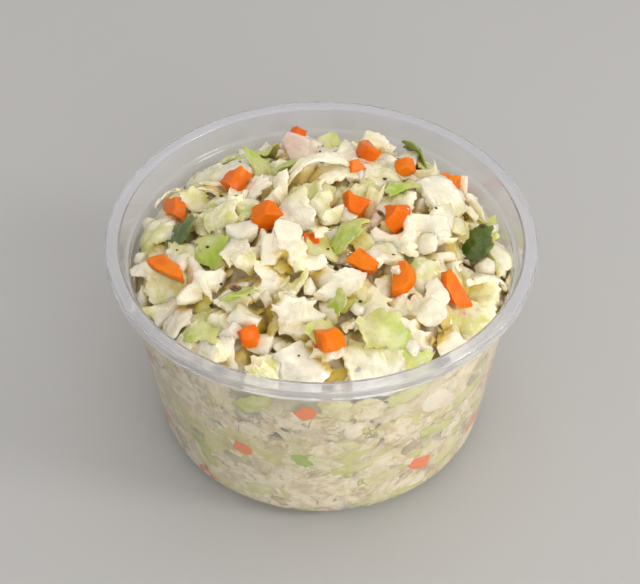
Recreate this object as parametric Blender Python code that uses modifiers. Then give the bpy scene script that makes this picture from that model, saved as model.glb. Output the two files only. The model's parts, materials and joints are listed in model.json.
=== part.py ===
"""Coleslaw in its see-through plastic cup, at real size: metres, +Z up, origin at the centre of the cup's base.

Two solids: the cup, a thin turned shell with a stacking step and a turned-down rim, and the coleslaw, one
heap that fills the cup against its wall and stands a little higher than the rim in the middle.
"""

import math

import bmesh
import bpy
from mathutils import Vector, noise

# ---- Driving dimensions -------------------------------------------------------------------------
CUP_HEIGHT = 0.0536
RIM_RADIUS = 0.0475  # outermost point of the turned-down rim
WALL = 0.00055  # thickness of the plastic, the same all over

# ---- Cup, radii to the middle of the plastic ----------------------------------------------------
CORNER_RADIUS = 0.0063
BASE_FLAT_RADIUS = 0.0318
STEP_LOW_RADIUS = 0.0426  # top of the tapered wall, where the stacking step starts
STEP_LOW_Z = 0.0475
STEP_WIDTH = 0.0009
STEP_HEIGHT = 0.0007
BAND_TOP_RADIUS = 0.0445  # steep band between the step and the rim
WALL_BULGE = 0.00035  # how far the tapered wall bows out at mid height
RIM_INNER_ROUND = 0.0007
RIM_OUTER_ROUND = 0.0007
SKIRT_DEPTH = 0.0027  # from the top of the rim down to its lower edge
TURN_STEPS = 64
WALL_POINTS = 5
CORNER_POINTS = 5
RIM_ROUND_POINTS = 3

# ---- Coleslaw -----------------------------------------------------------------------------------
GAP = 0.0003  # between the coleslaw and the plastic
CONTACT_Z = 0.0430  # height at which the heap leaves the wall
HEAP_TOP_Z = 0.0572  # middle of the heap, before its lumps
HEAP_FULLNESS = 2.9  # higher is flatter on top and steeper near the wall
SWELL_SIZE = 0.024  # broad unevenness of the heap
SWELL_DEPTH = 0.0011
SWELL_SLICE = 3.7  # which slice of the noise the broad unevenness takes
CHUNK_LAYERS = ((0.0090, 0.0022, 2.5), (0.0055, 0.0012, 6.5))  # chopped pieces: size, depth, slice of the pattern
CHUNK_SEAM = 0.22  # share of a chunk's size taken by the valley around it
CHUNK_MIX = 5.3  # spreads neighbouring cells apart in the noise that gives each chunk its own height
CALM_START = 0.74  # lumps fade out towards the wall from this share of the heap's radius
HEAP_DIVISIONS = 5
TOP_ANGLE = math.radians(102.0)  # part of the starting ball that becomes the heap's top

CUP_COLOUR = (0.80, 0.81, 0.86, 1.0)
SLAW_COLOUR = (0.86, 0.80, 0.62, 1.0)


def clear_scene():
    for obj in list(bpy.data.objects):
        bpy.data.objects.remove(obj, do_unlink=True)


def new_collection(name):
    collection = bpy.data.collections.new(name)
    bpy.context.scene.collection.children.link(collection)
    return collection


def new_material(name, colour, roughness, alpha=1.0):
    material = bpy.data.materials.new(name)
    material.use_nodes = True
    shader = material.node_tree.nodes["Principled BSDF"]
    shader.inputs["Base Color"].default_value = colour
    shader.inputs["Roughness"].default_value = roughness
    shader.inputs["Metallic"].default_value = 0.0
    shader.inputs["Alpha"].default_value = alpha
    return material


def arc(centre, radius, start_deg, end_deg, count):
    """Points of an arc in the profile plane, first and last included."""
    points = []
    for i in range(count):
        angle = math.radians(start_deg + (end_deg - start_deg) * i / (count - 1))
        points.append((centre[0] + radius * math.cos(angle), centre[1] + radius * math.sin(angle)))
    return points


def wall_taper_deg(start, end):
    """Lean of the tapered wall from upright, in degrees."""
    return math.degrees(math.atan2(end[0] - start[0], end[1] - start[1]))


def cup_profile():
    """Middle of the plastic as (radius, height) pairs, from the centre of the base to the rim's lower edge."""
    half = WALL / 2
    corner_centre = (BASE_FLAT_RADIUS, half + CORNER_RADIUS)
    wall_top = (STEP_LOW_RADIUS, STEP_LOW_Z)
    taper = wall_taper_deg((BASE_FLAT_RADIUS + CORNER_RADIUS, corner_centre[1]), wall_top)
    corner = arc(corner_centre, CORNER_RADIUS, -90.0, -taper, CORNER_POINTS)
    foot = corner[-1]
    wall = []
    for i in range(1, WALL_POINTS + 1):
        t = i / WALL_POINTS
        bulge = WALL_BULGE * 4 * t * (1 - t)
        wall.append((foot[0] + (wall_top[0] - foot[0]) * t + bulge, foot[1] + (wall_top[1] - foot[1]) * t))
    ledge = [(STEP_LOW_RADIUS + STEP_WIDTH, STEP_LOW_Z + STEP_HEIGHT)]
    flange_z = CUP_HEIGHT - half
    inner_centre = (BAND_TOP_RADIUS + RIM_INNER_ROUND, flange_z - RIM_INNER_ROUND)
    inner_round = arc(inner_centre, RIM_INNER_ROUND, 180.0, 90.0, RIM_ROUND_POINTS)
    skirt_radius = RIM_RADIUS - half
    outer_centre = (skirt_radius - RIM_OUTER_ROUND, flange_z - RIM_OUTER_ROUND)
    outer_round = arc(outer_centre, RIM_OUTER_ROUND, 90.0, 0.0, RIM_ROUND_POINTS)
    skirt_end = [(skirt_radius, CUP_HEIGHT - SKIRT_DEPTH)]
    return [(0.0, half)] + corner + wall + ledge + inner_round + outer_round + skirt_end


def make_cup(collection):
    """The shell: the profile is turned once round the axis and given the plastic's thickness."""
    profile = cup_profile()
    mesh = bpy.data.meshes.new("cup")
    vertices = [(radius, 0.0, height) for radius, height in reversed(profile)]
    mesh.from_pydata(vertices, [(i, i + 1) for i in range(len(vertices) - 1)], [])
    cup = bpy.data.objects.new("cup", mesh)
    collection.objects.link(cup)
    turn = cup.modifiers.new("turn", "SCREW")
    turn.axis = "Z"
    turn.angle = 2 * math.pi
    turn.steps = TURN_STEPS
    turn.render_steps = TURN_STEPS
    turn.use_merge_vertices = True
    turn.merge_threshold = 0.00001
    turn.use_smooth_shade = True
    shell = cup.modifiers.new("plastic", "SOLIDIFY")
    shell.thickness = WALL
    shell.offset = 0.0
    shell.use_even_offset = True
    mesh.materials.append(new_material("cup_plastic", CUP_COLOUR, 0.22, alpha=0.4))


def inside_outline():
    """The coleslaw's outline below its top: down the wall, round the corner, to the centre of the base."""
    half = WALL / 2
    inset = half + GAP
    outline = []
    for radius, height in cup_profile():
        if height < CONTACT_Z:
            outline.append((radius, height))
    low, high = outline[-1], (STEP_LOW_RADIUS, STEP_LOW_Z)
    share = (CONTACT_Z - low[1]) / (high[1] - low[1])
    outline.append((low[0] + (high[0] - low[0]) * share, CONTACT_Z))
    inner = []
    for i, (radius, height) in enumerate(outline):
        before = outline[max(i - 1, 0)]
        after = outline[min(i + 1, len(outline) - 1)]
        along = Vector((after[0] - before[0], after[1] - before[1])).normalized()
        inner.append((max(radius - along.y * inset, 0.0), height + along.x * inset))
    inner[0] = (0.0, WALL + GAP)
    return list(reversed(inner))


def heap_height(radius, contact_radius):
    """Height of the smooth heap at a distance from the axis."""
    share = min(radius / contact_radius, 1.0)
    return CONTACT_Z + (HEAP_TOP_Z - CONTACT_Z) * (1.0 - share**HEAP_FULLNESS)


def chunk_relief(x, y):
    """Raised and sunken chopped pieces: each cell of the pattern is one piece with a valley round it."""
    lift = SWELL_DEPTH * noise.noise(Vector((x / SWELL_SIZE, y / SWELL_SIZE, SWELL_SLICE)))
    for size, depth, pattern_slice in CHUNK_LAYERS:
        distances, points = noise.voronoi(Vector((x / size, y / size, pattern_slice)))
        piece = noise.noise(points[0] * CHUNK_MIX)
        seam = min((distances[1] - distances[0]) / CHUNK_SEAM, 1.0)
        lift += depth * (seam * (1.0 + piece) - 1.0)
    return lift


def point_along(outline, share):
    """The point at a share of the outline's length."""
    lengths = [math.dist(outline[i], outline[i + 1]) for i in range(len(outline) - 1)]
    left = share * sum(lengths)
    for i, length in enumerate(lengths):
        if left <= length or i == len(lengths) - 1:
            t = min(left / length, 1.0)
            start, end = outline[i], outline[i + 1]
            return start[0] + (end[0] - start[0]) * t, start[1] + (end[1] - start[1]) * t
        left -= length


def make_coleslaw(collection):
    """One closed heap: a ball whose upper part becomes the lumpy top and whose lower part fills the cup."""
    outline = inside_outline()
    contact_radius = outline[0][0]
    form = bmesh.new()
    bmesh.ops.create_icosphere(form, subdivisions=HEAP_DIVISIONS, radius=1.0)
    for vertex in form.verts:
        direction = vertex.co.normalized()
        angle = math.acos(max(-1.0, min(1.0, direction.z)))
        turn = math.atan2(direction.y, direction.x)
        if angle <= TOP_ANGLE:
            share = angle / TOP_ANGLE
            radius = contact_radius * share
            x, y = radius * math.cos(turn), radius * math.sin(turn)
            calm = 1.0 - min(max((share - CALM_START) / (1.0 - CALM_START), 0.0), 1.0)
            height = heap_height(radius, contact_radius) + calm * chunk_relief(x, y)
        else:
            radius, height = point_along(outline, (angle - TOP_ANGLE) / (math.pi - TOP_ANGLE))
            x, y = radius * math.cos(turn), radius * math.sin(turn)
        vertex.co = (x, y, height)
    bmesh.ops.recalc_face_normals(form, faces=form.faces)
    mesh = bpy.data.meshes.new("coleslaw")
    form.to_mesh(mesh)
    form.free()
    heap = bpy.data.objects.new("coleslaw", mesh)
    collection.objects.link(heap)
    mesh.materials.append(new_material("coleslaw", SLAW_COLOUR, 0.45))
    mesh.shade_smooth()
    mesh.set_sharp_from_angle(angle=math.radians(60.0))


def main():
    clear_scene()
    collection = new_collection("coleslaw_cup")
    make_cup(collection)
    make_coleslaw(collection)


main()
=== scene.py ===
"""Coleslaw heaped in its see-through plastic cup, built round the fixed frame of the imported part.

The cup is one turned shell. The coleslaw is a core that reaches just into the cup's wall, with chopped pieces
pressed on the wall all round and loose pieces dropped on top one by one until the heap is full.
Metres, +Z up, origin at the centre of the cup's base; -Y is the side the heap is seen from. Clock angles are in
degrees, seen from above: 0 is the far side, 90 the right, 180 the near side.
"""

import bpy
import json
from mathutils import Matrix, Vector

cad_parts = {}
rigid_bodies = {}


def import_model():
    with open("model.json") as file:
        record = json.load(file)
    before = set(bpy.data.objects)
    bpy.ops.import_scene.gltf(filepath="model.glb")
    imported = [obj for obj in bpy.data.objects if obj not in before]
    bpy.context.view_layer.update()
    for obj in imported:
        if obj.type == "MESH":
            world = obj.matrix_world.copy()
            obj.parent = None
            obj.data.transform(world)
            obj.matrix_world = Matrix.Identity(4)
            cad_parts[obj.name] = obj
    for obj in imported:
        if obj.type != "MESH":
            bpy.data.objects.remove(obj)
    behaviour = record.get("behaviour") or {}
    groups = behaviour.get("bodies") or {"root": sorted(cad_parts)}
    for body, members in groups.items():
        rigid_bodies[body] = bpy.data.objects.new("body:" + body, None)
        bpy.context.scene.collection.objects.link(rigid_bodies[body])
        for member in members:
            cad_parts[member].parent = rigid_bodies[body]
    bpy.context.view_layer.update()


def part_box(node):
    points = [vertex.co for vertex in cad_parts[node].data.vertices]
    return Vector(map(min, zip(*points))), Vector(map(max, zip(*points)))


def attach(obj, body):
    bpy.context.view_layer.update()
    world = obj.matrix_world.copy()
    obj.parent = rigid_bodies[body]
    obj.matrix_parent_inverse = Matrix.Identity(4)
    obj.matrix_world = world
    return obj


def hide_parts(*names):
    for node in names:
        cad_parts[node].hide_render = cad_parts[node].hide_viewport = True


bl_info = {
    "name": "Coleslaw Cup",
    "version": (1, 0, 0),
    "blender": (4, 5, 0),
    "location": "View3D > Sidebar > Coleslaw",
    "description": "Models chopped coleslaw and the see-through cup that holds it",
    "category": "Add Mesh",
}

import json
import math
import random

import bmesh
import bpy
import numpy as np
from bpy.props import FloatProperty, FloatVectorProperty, IntProperty, PointerProperty
from mathutils import Matrix, Vector, noise

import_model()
CUP_LOW, CUP_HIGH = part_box("cup")
HEAP_LOW, HEAP_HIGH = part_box("coleslaw")

CELL = 0.0008  # grid of the height map the pieces are dropped on
MM = 0.001

noise.seed_set(7)  # otherwise the vector noise starts from the clock and each run gives other shapes


def srgb(red, green, blue):
    """Linear colour for screen values from 0 to 255."""
    parts = [value / 255.0 for value in (red, green, blue)]
    return tuple(p / 12.92 if p <= 0.04045 else ((p + 0.055) / 1.055) ** 2.4 for p in parts)


# ---- Settings -----------------------------------------------------------------------------------
def length_setting(name, description, default):
    return FloatProperty(
        name=name, description=description, default=default, min=0.0, precision=5, unit="LENGTH"
    )


def colour_setting(name, description, default):
    return FloatVectorProperty(
        name=name, description=description, default=default, size=3, min=0.0, max=1.0, subtype="COLOR"
    )


class CupSettings(bpy.types.PropertyGroup):
    """Sizes and look of the cup; radii are to the middle of the plastic"""

    height: length_setting("Height", "Height of the cup", CUP_HIGH.z)
    rim_radius: length_setting("Rim Radius", "Outermost point of the rim", (CUP_HIGH.x - CUP_LOW.x) / 2)
    wall: length_setting("Wall", "Thickness of the plastic", 0.00055)
    corner_radius: length_setting("Corner Radius", "Rounding between base and wall", 0.0063)
    base_flat_radius: length_setting("Base Radius", "Flat part of the base", 0.0318)
    step_low_radius: length_setting("Step Radius", "Wall at the foot of the stacking step", 0.0426)
    step_low_height: length_setting("Step Height", "Where the stacking step starts", 0.0475)
    step_width: length_setting("Step Width", "How far the step goes out", 0.0009)
    step_rise: length_setting("Step Rise", "How far the step goes up", 0.0007)
    band_radius: length_setting("Band Radius", "Top of the steep band under the rim", 0.0445)
    wall_bulge: length_setting("Wall Bulge", "How far the tapered wall bows out", 0.00035)
    rim_round: length_setting("Rim Rounding", "Rounding of the rim's two edges", 0.00050)
    skirt_depth: length_setting("Skirt Depth", "From the rim's top to its lower edge", 0.0027)
    base_recess: length_setting("Base Recess", "How far the middle of the base is raised", 0.00035)
    turn_steps: IntProperty(
        name="Turn Steps", description="Corners in one turn of the cup", default=320, min=32
    )
    # Painted reflection: the rim's slightly cooler, bluer tint stands in for the studio light reflected in the
    # rim, on top of the plastic's own tint
    plastic: colour_setting("Plastic", "Tint of the see-through plastic at the rim", (0.95, 0.95, 0.99))
    wall_tint: colour_setting(
        "Wall Tint", "Tint of the see-through plastic low on the wall", (0.96, 0.95, 0.92)
    )
    shade_tint: colour_setting("Shade Tint", "Light the plastic lets through", (0.95, 0.95, 0.97))
    clarity: FloatProperty(
        name="Clarity", description="Share of light let through", default=0.87, min=0.0, max=1.0
    )
    haze: FloatProperty(
        name="Rim Haze", description="Roughness of the plastic at the rim", default=0.11, min=0.0, max=1.0
    )
    wall_haze: FloatProperty(
        name="Wall Haze", description="Roughness low on the wall", default=0.15, min=0.0, max=1.0
    )


class HeapSettings(bpy.types.PropertyGroup):
    """Shape of the heap of coleslaw"""

    contact_height: length_setting("Contact Height", "Where the heap leaves the wall", 0.0430)
    top_height: length_setting("Top Height", "Middle of the heap before its lumps", 0.0566)
    fullness: FloatProperty(name="Fullness", description="Higher is flatter on top", default=2.9, min=1.0)
    core_depth: length_setting("Core Depth", "How far the core lies under the lowest pieces", 0.0008)
    bed_depth: length_setting(
        "Bed Depth", "How far under its surface the heap is filled with loose pieces", 0.0042
    )
    core_reach: length_setting("Core Reach", "How far the core reaches into the wall", 0.00008)
    pit_depth: length_setting("Pit Depth", "Depth of the small pits against the wall", 0.0013)
    seed: IntProperty(name="Seed", description="Start of the random draws", default=41)
    loose_limit: IntProperty(
        name="Loose Limit", description="Most loose pieces on the heap", default=620, min=1
    )
    wall_count: IntProperty(
        name="Wall Pieces", description="Cabbage pieces pressed on the wall", default=280, min=1
    )


class ColourSettings(bpy.types.PropertyGroup):
    """Colours of the chopped vegetables, and the painted shade between them"""

    cabbage: colour_setting("Cabbage", "White of the cabbage rib", srgb(250, 242, 217))
    pale_leaf: colour_setting("Pale Leaf", "Pale green-yellow of the inner leaves", srgb(222, 219, 132))
    green_leaf: colour_setting("Green Leaf", "Green of the outer leaves", srgb(172, 200, 48))
    dark_leaf: colour_setting("Dark Leaf", "Dark green of the outermost leaf", srgb(66, 90, 14))
    # Painted shade: golden colour painted into the hollows between the loose pieces
    painted_shade: colour_setting("Hollow", "Wet shade between the pieces", srgb(222, 188, 60))
    packed: colour_setting(
        "Packed Cabbage", "Cabbage soaked in dressing, pressed on the wall", srgb(255, 243, 216)
    )
    # Painted shade: brownish colour painted into the seams and hollows of the pieces pressed on the wall and of
    # the core
    painted_seam_shade: colour_setting(
        "Wall Seam", "Brownish line between pieces pressed on the wall", srgb(112, 72, 16)
    )
    soaked: colour_setting(
        "Soaked Cabbage", "See-through patches of the cabbage on the wall", srgb(212, 184, 118)
    )
    dressing: colour_setting("Dressing", "Creamy film on the pieces", srgb(255, 247, 228))
    carrot: colour_setting("Carrot", "Orange of the cut carrot", srgb(251, 129, 6))
    carrot_skin: colour_setting("Carrot Shade", "Deeper orange in the carrot", srgb(244, 98, 2))
    blush: colour_setting("Blush", "Pinkish-white piece", srgb(240, 196, 178))
    pepper: colour_setting("Pepper", "Ground pepper and seeds", srgb(74, 44, 26))


class StageSettings(bpy.types.PropertyGroup):
    """Floor, lights and camera"""

    floor: colour_setting("Floor", "Pale floor", (0.56, 0.55, 0.54))
    key_power: FloatProperty(
        name="Key Light", description="Soft light from the right", default=1.0, unit="POWER"
    )
    overhead_power: FloatProperty(
        name="Overhead Light", description="Wide light from above", default=0.91, unit="POWER"
    )
    fill_power: FloatProperty(
        name="Fill Light", description="Weak light from the front right", default=1.35, unit="POWER"
    )
    sky: FloatProperty(name="Sky", description="Strength of the even studio light", default=0.64, min=0.0)
    distance: length_setting("Camera Distance", "From the middle of the cup to the camera", 0.3786)
    elevation: FloatProperty(
        name="Elevation", description="Height of the camera over the level", default=math.radians(45.07),
        subtype="ANGLE"
    )
    aim_rise: length_setting("Aim Rise", "How far over the cup's middle the camera aims", 0.0086)
    lens: FloatProperty(
        name="Lens", description="Focal length on a 36 mm wide sensor", default=92.2, unit="CAMERA"
    )


SETTING_GROUPS = (CupSettings, HeapSettings, ColourSettings, StageSettings)


# ---- Small helpers ------------------------------------------------------------------------------
def clear_selection():
    if bpy.context.active_object and bpy.context.active_object.mode != "OBJECT":
        bpy.ops.object.mode_set(mode="OBJECT")
    bpy.ops.object.select_all(action="DESELECT")


def pick(obj):
    """Makes one object the only one selected."""
    clear_selection()
    obj.select_set(True)
    bpy.context.view_layer.objects.active = obj


def apply_modifier(obj, kind, **values):
    """Adds a modifier, sets it up and applies it."""
    pick(obj)
    modifier = obj.modifiers.new(kind.lower(), kind)
    for name, value in values.items():
        setattr(modifier, name, value)
    bpy.ops.object.modifier_apply(modifier=modifier.name)


def register_piece(obj, node, material):
    """Gives a finished piece its material, slot and body, and hides the CAD node it stands for."""
    obj.data.materials.clear()
    obj.data.materials.append(material)
    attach(obj, "root")
    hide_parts(node)


def arc(centre, radius, start_deg, end_deg, count):
    """Points of an arc in the profile plane, first and last included."""
    angles = [math.radians(start_deg + (end_deg - start_deg) * i / (count - 1)) for i in range(count)]
    return [(centre[0] + radius * math.cos(a), centre[1] + radius * math.sin(a)) for a in angles]


def smoothstep(low, high, value):
    t = np.clip((value - low) / (high - low), 0.0, 1.0)
    return t * t * (3.0 - 2.0 * t)


# ---- Cup ----------------------------------------------------------------------------------------
def cup_profile(cup, recess=0.0):
    """Middle of the plastic as (radius, height) pairs, from the middle of the base to the rim's lower edge."""
    half = cup.wall / 2
    corner_centre = (cup.base_flat_radius, half + cup.corner_radius)
    wall_top = (cup.step_low_radius, cup.step_low_height)
    lean = math.degrees(
        math.atan2(wall_top[0] - cup.base_flat_radius - cup.corner_radius, wall_top[1] - corner_centre[1])
    )
    floor_radii = [cup.base_flat_radius * share for share in (0.12, 0.3, 0.5, 0.68, 0.80)]
    points = [(radius, half + recess) for radius in floor_radii]
    points.append((cup.base_flat_radius * 0.84, half + recess * 0.5))
    points.append((cup.base_flat_radius * 0.88, half))
    points += arc(corner_centre, cup.corner_radius, -90.0, -lean, 12)
    foot = points[-1]
    for i in range(1, 17):
        t = i / 16
        bulge = cup.wall_bulge * 4 * t * (1 - t)
        points.append((foot[0] + (wall_top[0] - foot[0]) * t + bulge, foot[1] + (wall_top[1] - foot[1]) * t))
    ledge = (cup.step_low_radius + cup.step_width, cup.step_low_height + cup.step_rise)
    for share in (0.25, 0.75):
        points.append((wall_top[0] + cup.step_width * share, wall_top[1] + cup.step_rise * share))
    points.append(ledge)
    flange = cup.height - half
    inner_centre = (cup.band_radius + cup.rim_round, flange - cup.rim_round)
    for share in (0.08, 0.36, 0.68):
        points.append(
            (ledge[0] + (cup.band_radius - ledge[0]) * share, ledge[1] + (inner_centre[1] - ledge[1]) * share)
        )
    points += arc(inner_centre, cup.rim_round, 180.0, 90.0, 7)
    skirt_radius = cup.rim_radius - half
    outer_centre = (skirt_radius - cup.rim_round, flange - cup.rim_round)
    points.append(((inner_centre[0] + outer_centre[0]) / 2, flange))
    points += arc(outer_centre, cup.rim_round, 90.0, 0.0, 7)
    points.append((skirt_radius, cup.height - cup.skirt_depth * 0.6))
    points.append((skirt_radius, cup.height - cup.skirt_depth))
    return points


class COLESLAW_OT_cup(bpy.types.Operator):
    """Model the see-through cup, ring by ring from the rim's lower edge to the middle of the base"""

    bl_idname = "coleslaw.cup"
    bl_label = "Cup"

    def execute(self, context):
        cup = context.scene.coleslaw_cup
        rings = list(reversed(cup_profile(cup, cup.base_recess)))
        clear_selection()
        radius, height = rings[0]
        bpy.ops.mesh.primitive_circle_add(
            vertices=cup.turn_steps, radius=radius, fill_type="NOTHING", location=(0.0, 0.0, height)
        )
        shell = context.active_object
        shell.name = shell.data.name = "plastic_cup"
        bpy.ops.object.transform_apply(location=True, rotation=True, scale=True)
        bpy.ops.object.mode_set(mode="EDIT")
        bpy.ops.mesh.select_all(action="SELECT")
        for next_radius, next_height in rings[1:]:
            bpy.ops.mesh.extrude_region_move(
                TRANSFORM_OT_translate={"value": (0.0, 0.0, next_height - height)}
            )
            ratio = next_radius / radius
            bpy.ops.transform.resize(value=(ratio, ratio, 1.0), center_override=(0.0, 0.0, next_height))
            radius, height = next_radius, next_height
        bpy.ops.mesh.extrude_region_move(TRANSFORM_OT_translate={"value": (0.0, 0.0, 0.0)})
        bpy.ops.mesh.merge(type="CENTER")
        bpy.ops.mesh.select_all(action="SELECT")
        bpy.ops.mesh.normals_make_consistent(inside=False)
        bpy.ops.object.mode_set(mode="OBJECT")
        apply_modifier(shell, "SOLIDIFY", thickness=cup.wall, offset=0.0, use_even_offset=True)
        apply_modifier(
            shell, "BEVEL", width=cup.wall * 0.3, segments=2, limit_method="ANGLE",
            angle_limit=math.radians(60.0)
        )
        pick(shell)
        bpy.ops.object.shade_smooth()
        register_piece(shell, "cup", plastic_material(context.scene))
        return {"FINISHED"}


# ---- The heap's outline -------------------------------------------------------------------------
def heap_height(heap, radius, contact_radius):
    """Height of the smooth heap at a distance from the axis; works on numbers and arrays."""
    share = np.minimum(radius / contact_radius, 1.0)
    return heap.contact_height + (heap.top_height - heap.contact_height) * (1.0 - share**heap.fullness)


class WallLine:
    """The cup's wall as a line from the middle of the base upwards, with its outward direction and length."""

    def __init__(self, cup):
        points = np.array([(0.0, cup.wall / 2)] + cup_profile(cup))
        keep = points[:, 1] <= cup.height - cup.wall * 0.6 - cup.rim_round
        stop = int(np.argmin(keep)) if not keep.all() else len(points)
        points = points[:stop]
        steps = np.hypot(*np.diff(points, axis=0).T)
        length = np.concatenate([[0.0], np.cumsum(steps)])
        self.along = np.linspace(0.0, length[-1], 400)
        self.radius = np.interp(self.along, length, points[:, 0])
        self.height = np.interp(self.along, length, points[:, 1])
        slope_r, slope_z = np.gradient(self.radius), np.gradient(self.height)
        size = np.hypot(slope_r, slope_z)
        self.out_r, self.out_z = slope_z / size, -slope_r / size

    def at(self, along):
        """Radius, height and outward direction at lengths along the line."""
        return tuple(
            np.interp(along, self.along, values) for values in (
                self.radius, self.height, self.out_r, self.out_z
            )
        )

    def radius_at_height(self, height):
        upper = self.along > 0.034
        return np.interp(height, self.height[upper], self.radius[upper])

    def along_at_height(self, height):
        upper = self.along > 0.034
        return float(np.interp(height, self.height[upper], self.along[upper]))


def swell(x, y):
    """Broad unevenness of the heap."""
    return 0.0022 * noise.noise(Vector((x / 0.016, y / 0.016, 4.1))) + 0.0022 * noise.noise(
        Vector((x / 0.0075, y / 0.0075, 9.7))
    )


def spot(share, clock, contact_radius):
    """Level place for a share of the heap's radius and a clock angle."""
    turn = math.radians(clock)
    return share * contact_radius * math.sin(turn), share * contact_radius * math.cos(turn)


def scattered(dice, count, low, high, apart):
    """Shares of the heap's radius and clock angles; the gap asked for shrinks until all of them fit."""
    drawn = []
    while len(drawn) < count:
        share, clock = math.sqrt(dice.uniform(low**2, high**2)), dice.uniform(0.0, 360.0)
        x, y = spot(share, clock, 1.0)
        if all(math.hypot(x - other[0], y - other[1]) >= apart for other in drawn):
            drawn.append((x, y, share, clock))
        apart *= 0.998
    return [(share, clock) for _, _, share, clock in drawn]


# ---- Shapes the pieces are copied from ----------------------------------------------------------
class Shape:
    """One modelled piece kept as arrays: points, faces, grain map, edge strength and place along its length."""

    def __init__(self, obj, length, flat_map=None):
        mesh = obj.data
        self.points = np.empty(len(mesh.vertices) * 3)
        mesh.vertices.foreach_get("co", self.points)
        self.points = self.points.reshape(-1, 3)
        self.corners = np.empty(len(mesh.loops), dtype=np.int32)
        mesh.loops.foreach_get("vertex_index", self.corners)
        self.starts = np.empty(len(mesh.polygons), dtype=np.int32)
        mesh.polygons.foreach_get("loop_start", self.starts)
        self.along = self.points[:, 0] / length
        if flat_map:
            grain = np.empty(len(mesh.loops) * 2)
            mesh.uv_layers[0].data.foreach_get("uv", grain)
            self.grain = grain.reshape(-1, 2) * np.array(flat_map)
            self.along = np.zeros(len(self.points))
            self.along[self.corners] = self.grain[:, 0] / flat_map[0] - 0.5
        else:
            normals = np.empty(len(mesh.polygons) * 3)
            mesh.polygons.foreach_get("normal", normals)
            totals = np.diff(np.append(self.starts, len(self.corners)))
            facing = np.repeat(np.abs(normals.reshape(-1, 3)), totals, axis=0)
            place = self.points[self.corners]
            side = np.argmax(facing, axis=1)
            across = np.where(side == 1, place[:, 2], place[:, 1])
            self.grain = np.stack([np.where(side == 0, place[:, 2], place[:, 0]), across], axis=1)
        self.edge = edge_strength(mesh)
        centre = (self.points.min(axis=0) + self.points.max(axis=0)) / 2
        self.points = self.points - centre
        self.reach = float(np.hypot(self.points[:, 0], self.points[:, 1]).max())
        ends = np.append(self.starts, len(self.corners))[1:]
        sums = np.add.reduceat(self.points[self.corners], self.starts, axis=0)
        self.samples = np.vstack([self.points, sums / (ends - self.starts)[:, None]])


def edge_strength(mesh):
    """How sharply the surface turns outwards at each point, from 0 to 1."""
    form = bmesh.new()
    form.from_mesh(mesh)
    turn = np.zeros(len(form.verts))
    for edge in form.edges:
        if len(edge.link_faces) == 2:
            angle = max(edge.calc_face_angle_signed(0.0), 0.0)
            for vertex in edge.verts:
                turn[vertex.index] = max(turn[vertex.index], angle)
    form.free()
    return np.clip((turn - 0.30) / 0.75, 0.0, 1.0)


def keep_shape(obj, length, flat_map=None):
    """Reads a modelled piece into arrays and clears the object away."""
    shape = Shape(obj, length, flat_map)
    mesh = obj.data
    bpy.data.objects.remove(obj, do_unlink=True)
    bpy.data.meshes.remove(mesh)
    return shape


def trim(dice, length, width, height, cuts, closeness, fill):
    """Cuts a shape in edit mode by straight cuts round its middle."""
    start = dice.uniform(0.0, math.tau)
    for i in range(cuts):
        turn = start + math.tau * (i + dice.uniform(-0.32, 0.32)) / cuts
        lean = dice.uniform(-0.55, 0.55) if fill else 0.0
        normal = Vector((math.cos(turn) * math.cos(lean), math.sin(turn) * math.cos(lean), math.sin(lean)))
        reach = 0.5 * math.sqrt(
            (length * normal.x) ** 2 + (width * normal.y) ** 2 + (height * normal.z) ** 2
        )
        reach *= dice.uniform(*closeness)
        bpy.ops.mesh.select_all(action="SELECT")
        bpy.ops.mesh.bisect(plane_co=normal * reach, plane_no=normal, clear_outer=True, use_fill=fill)


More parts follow.
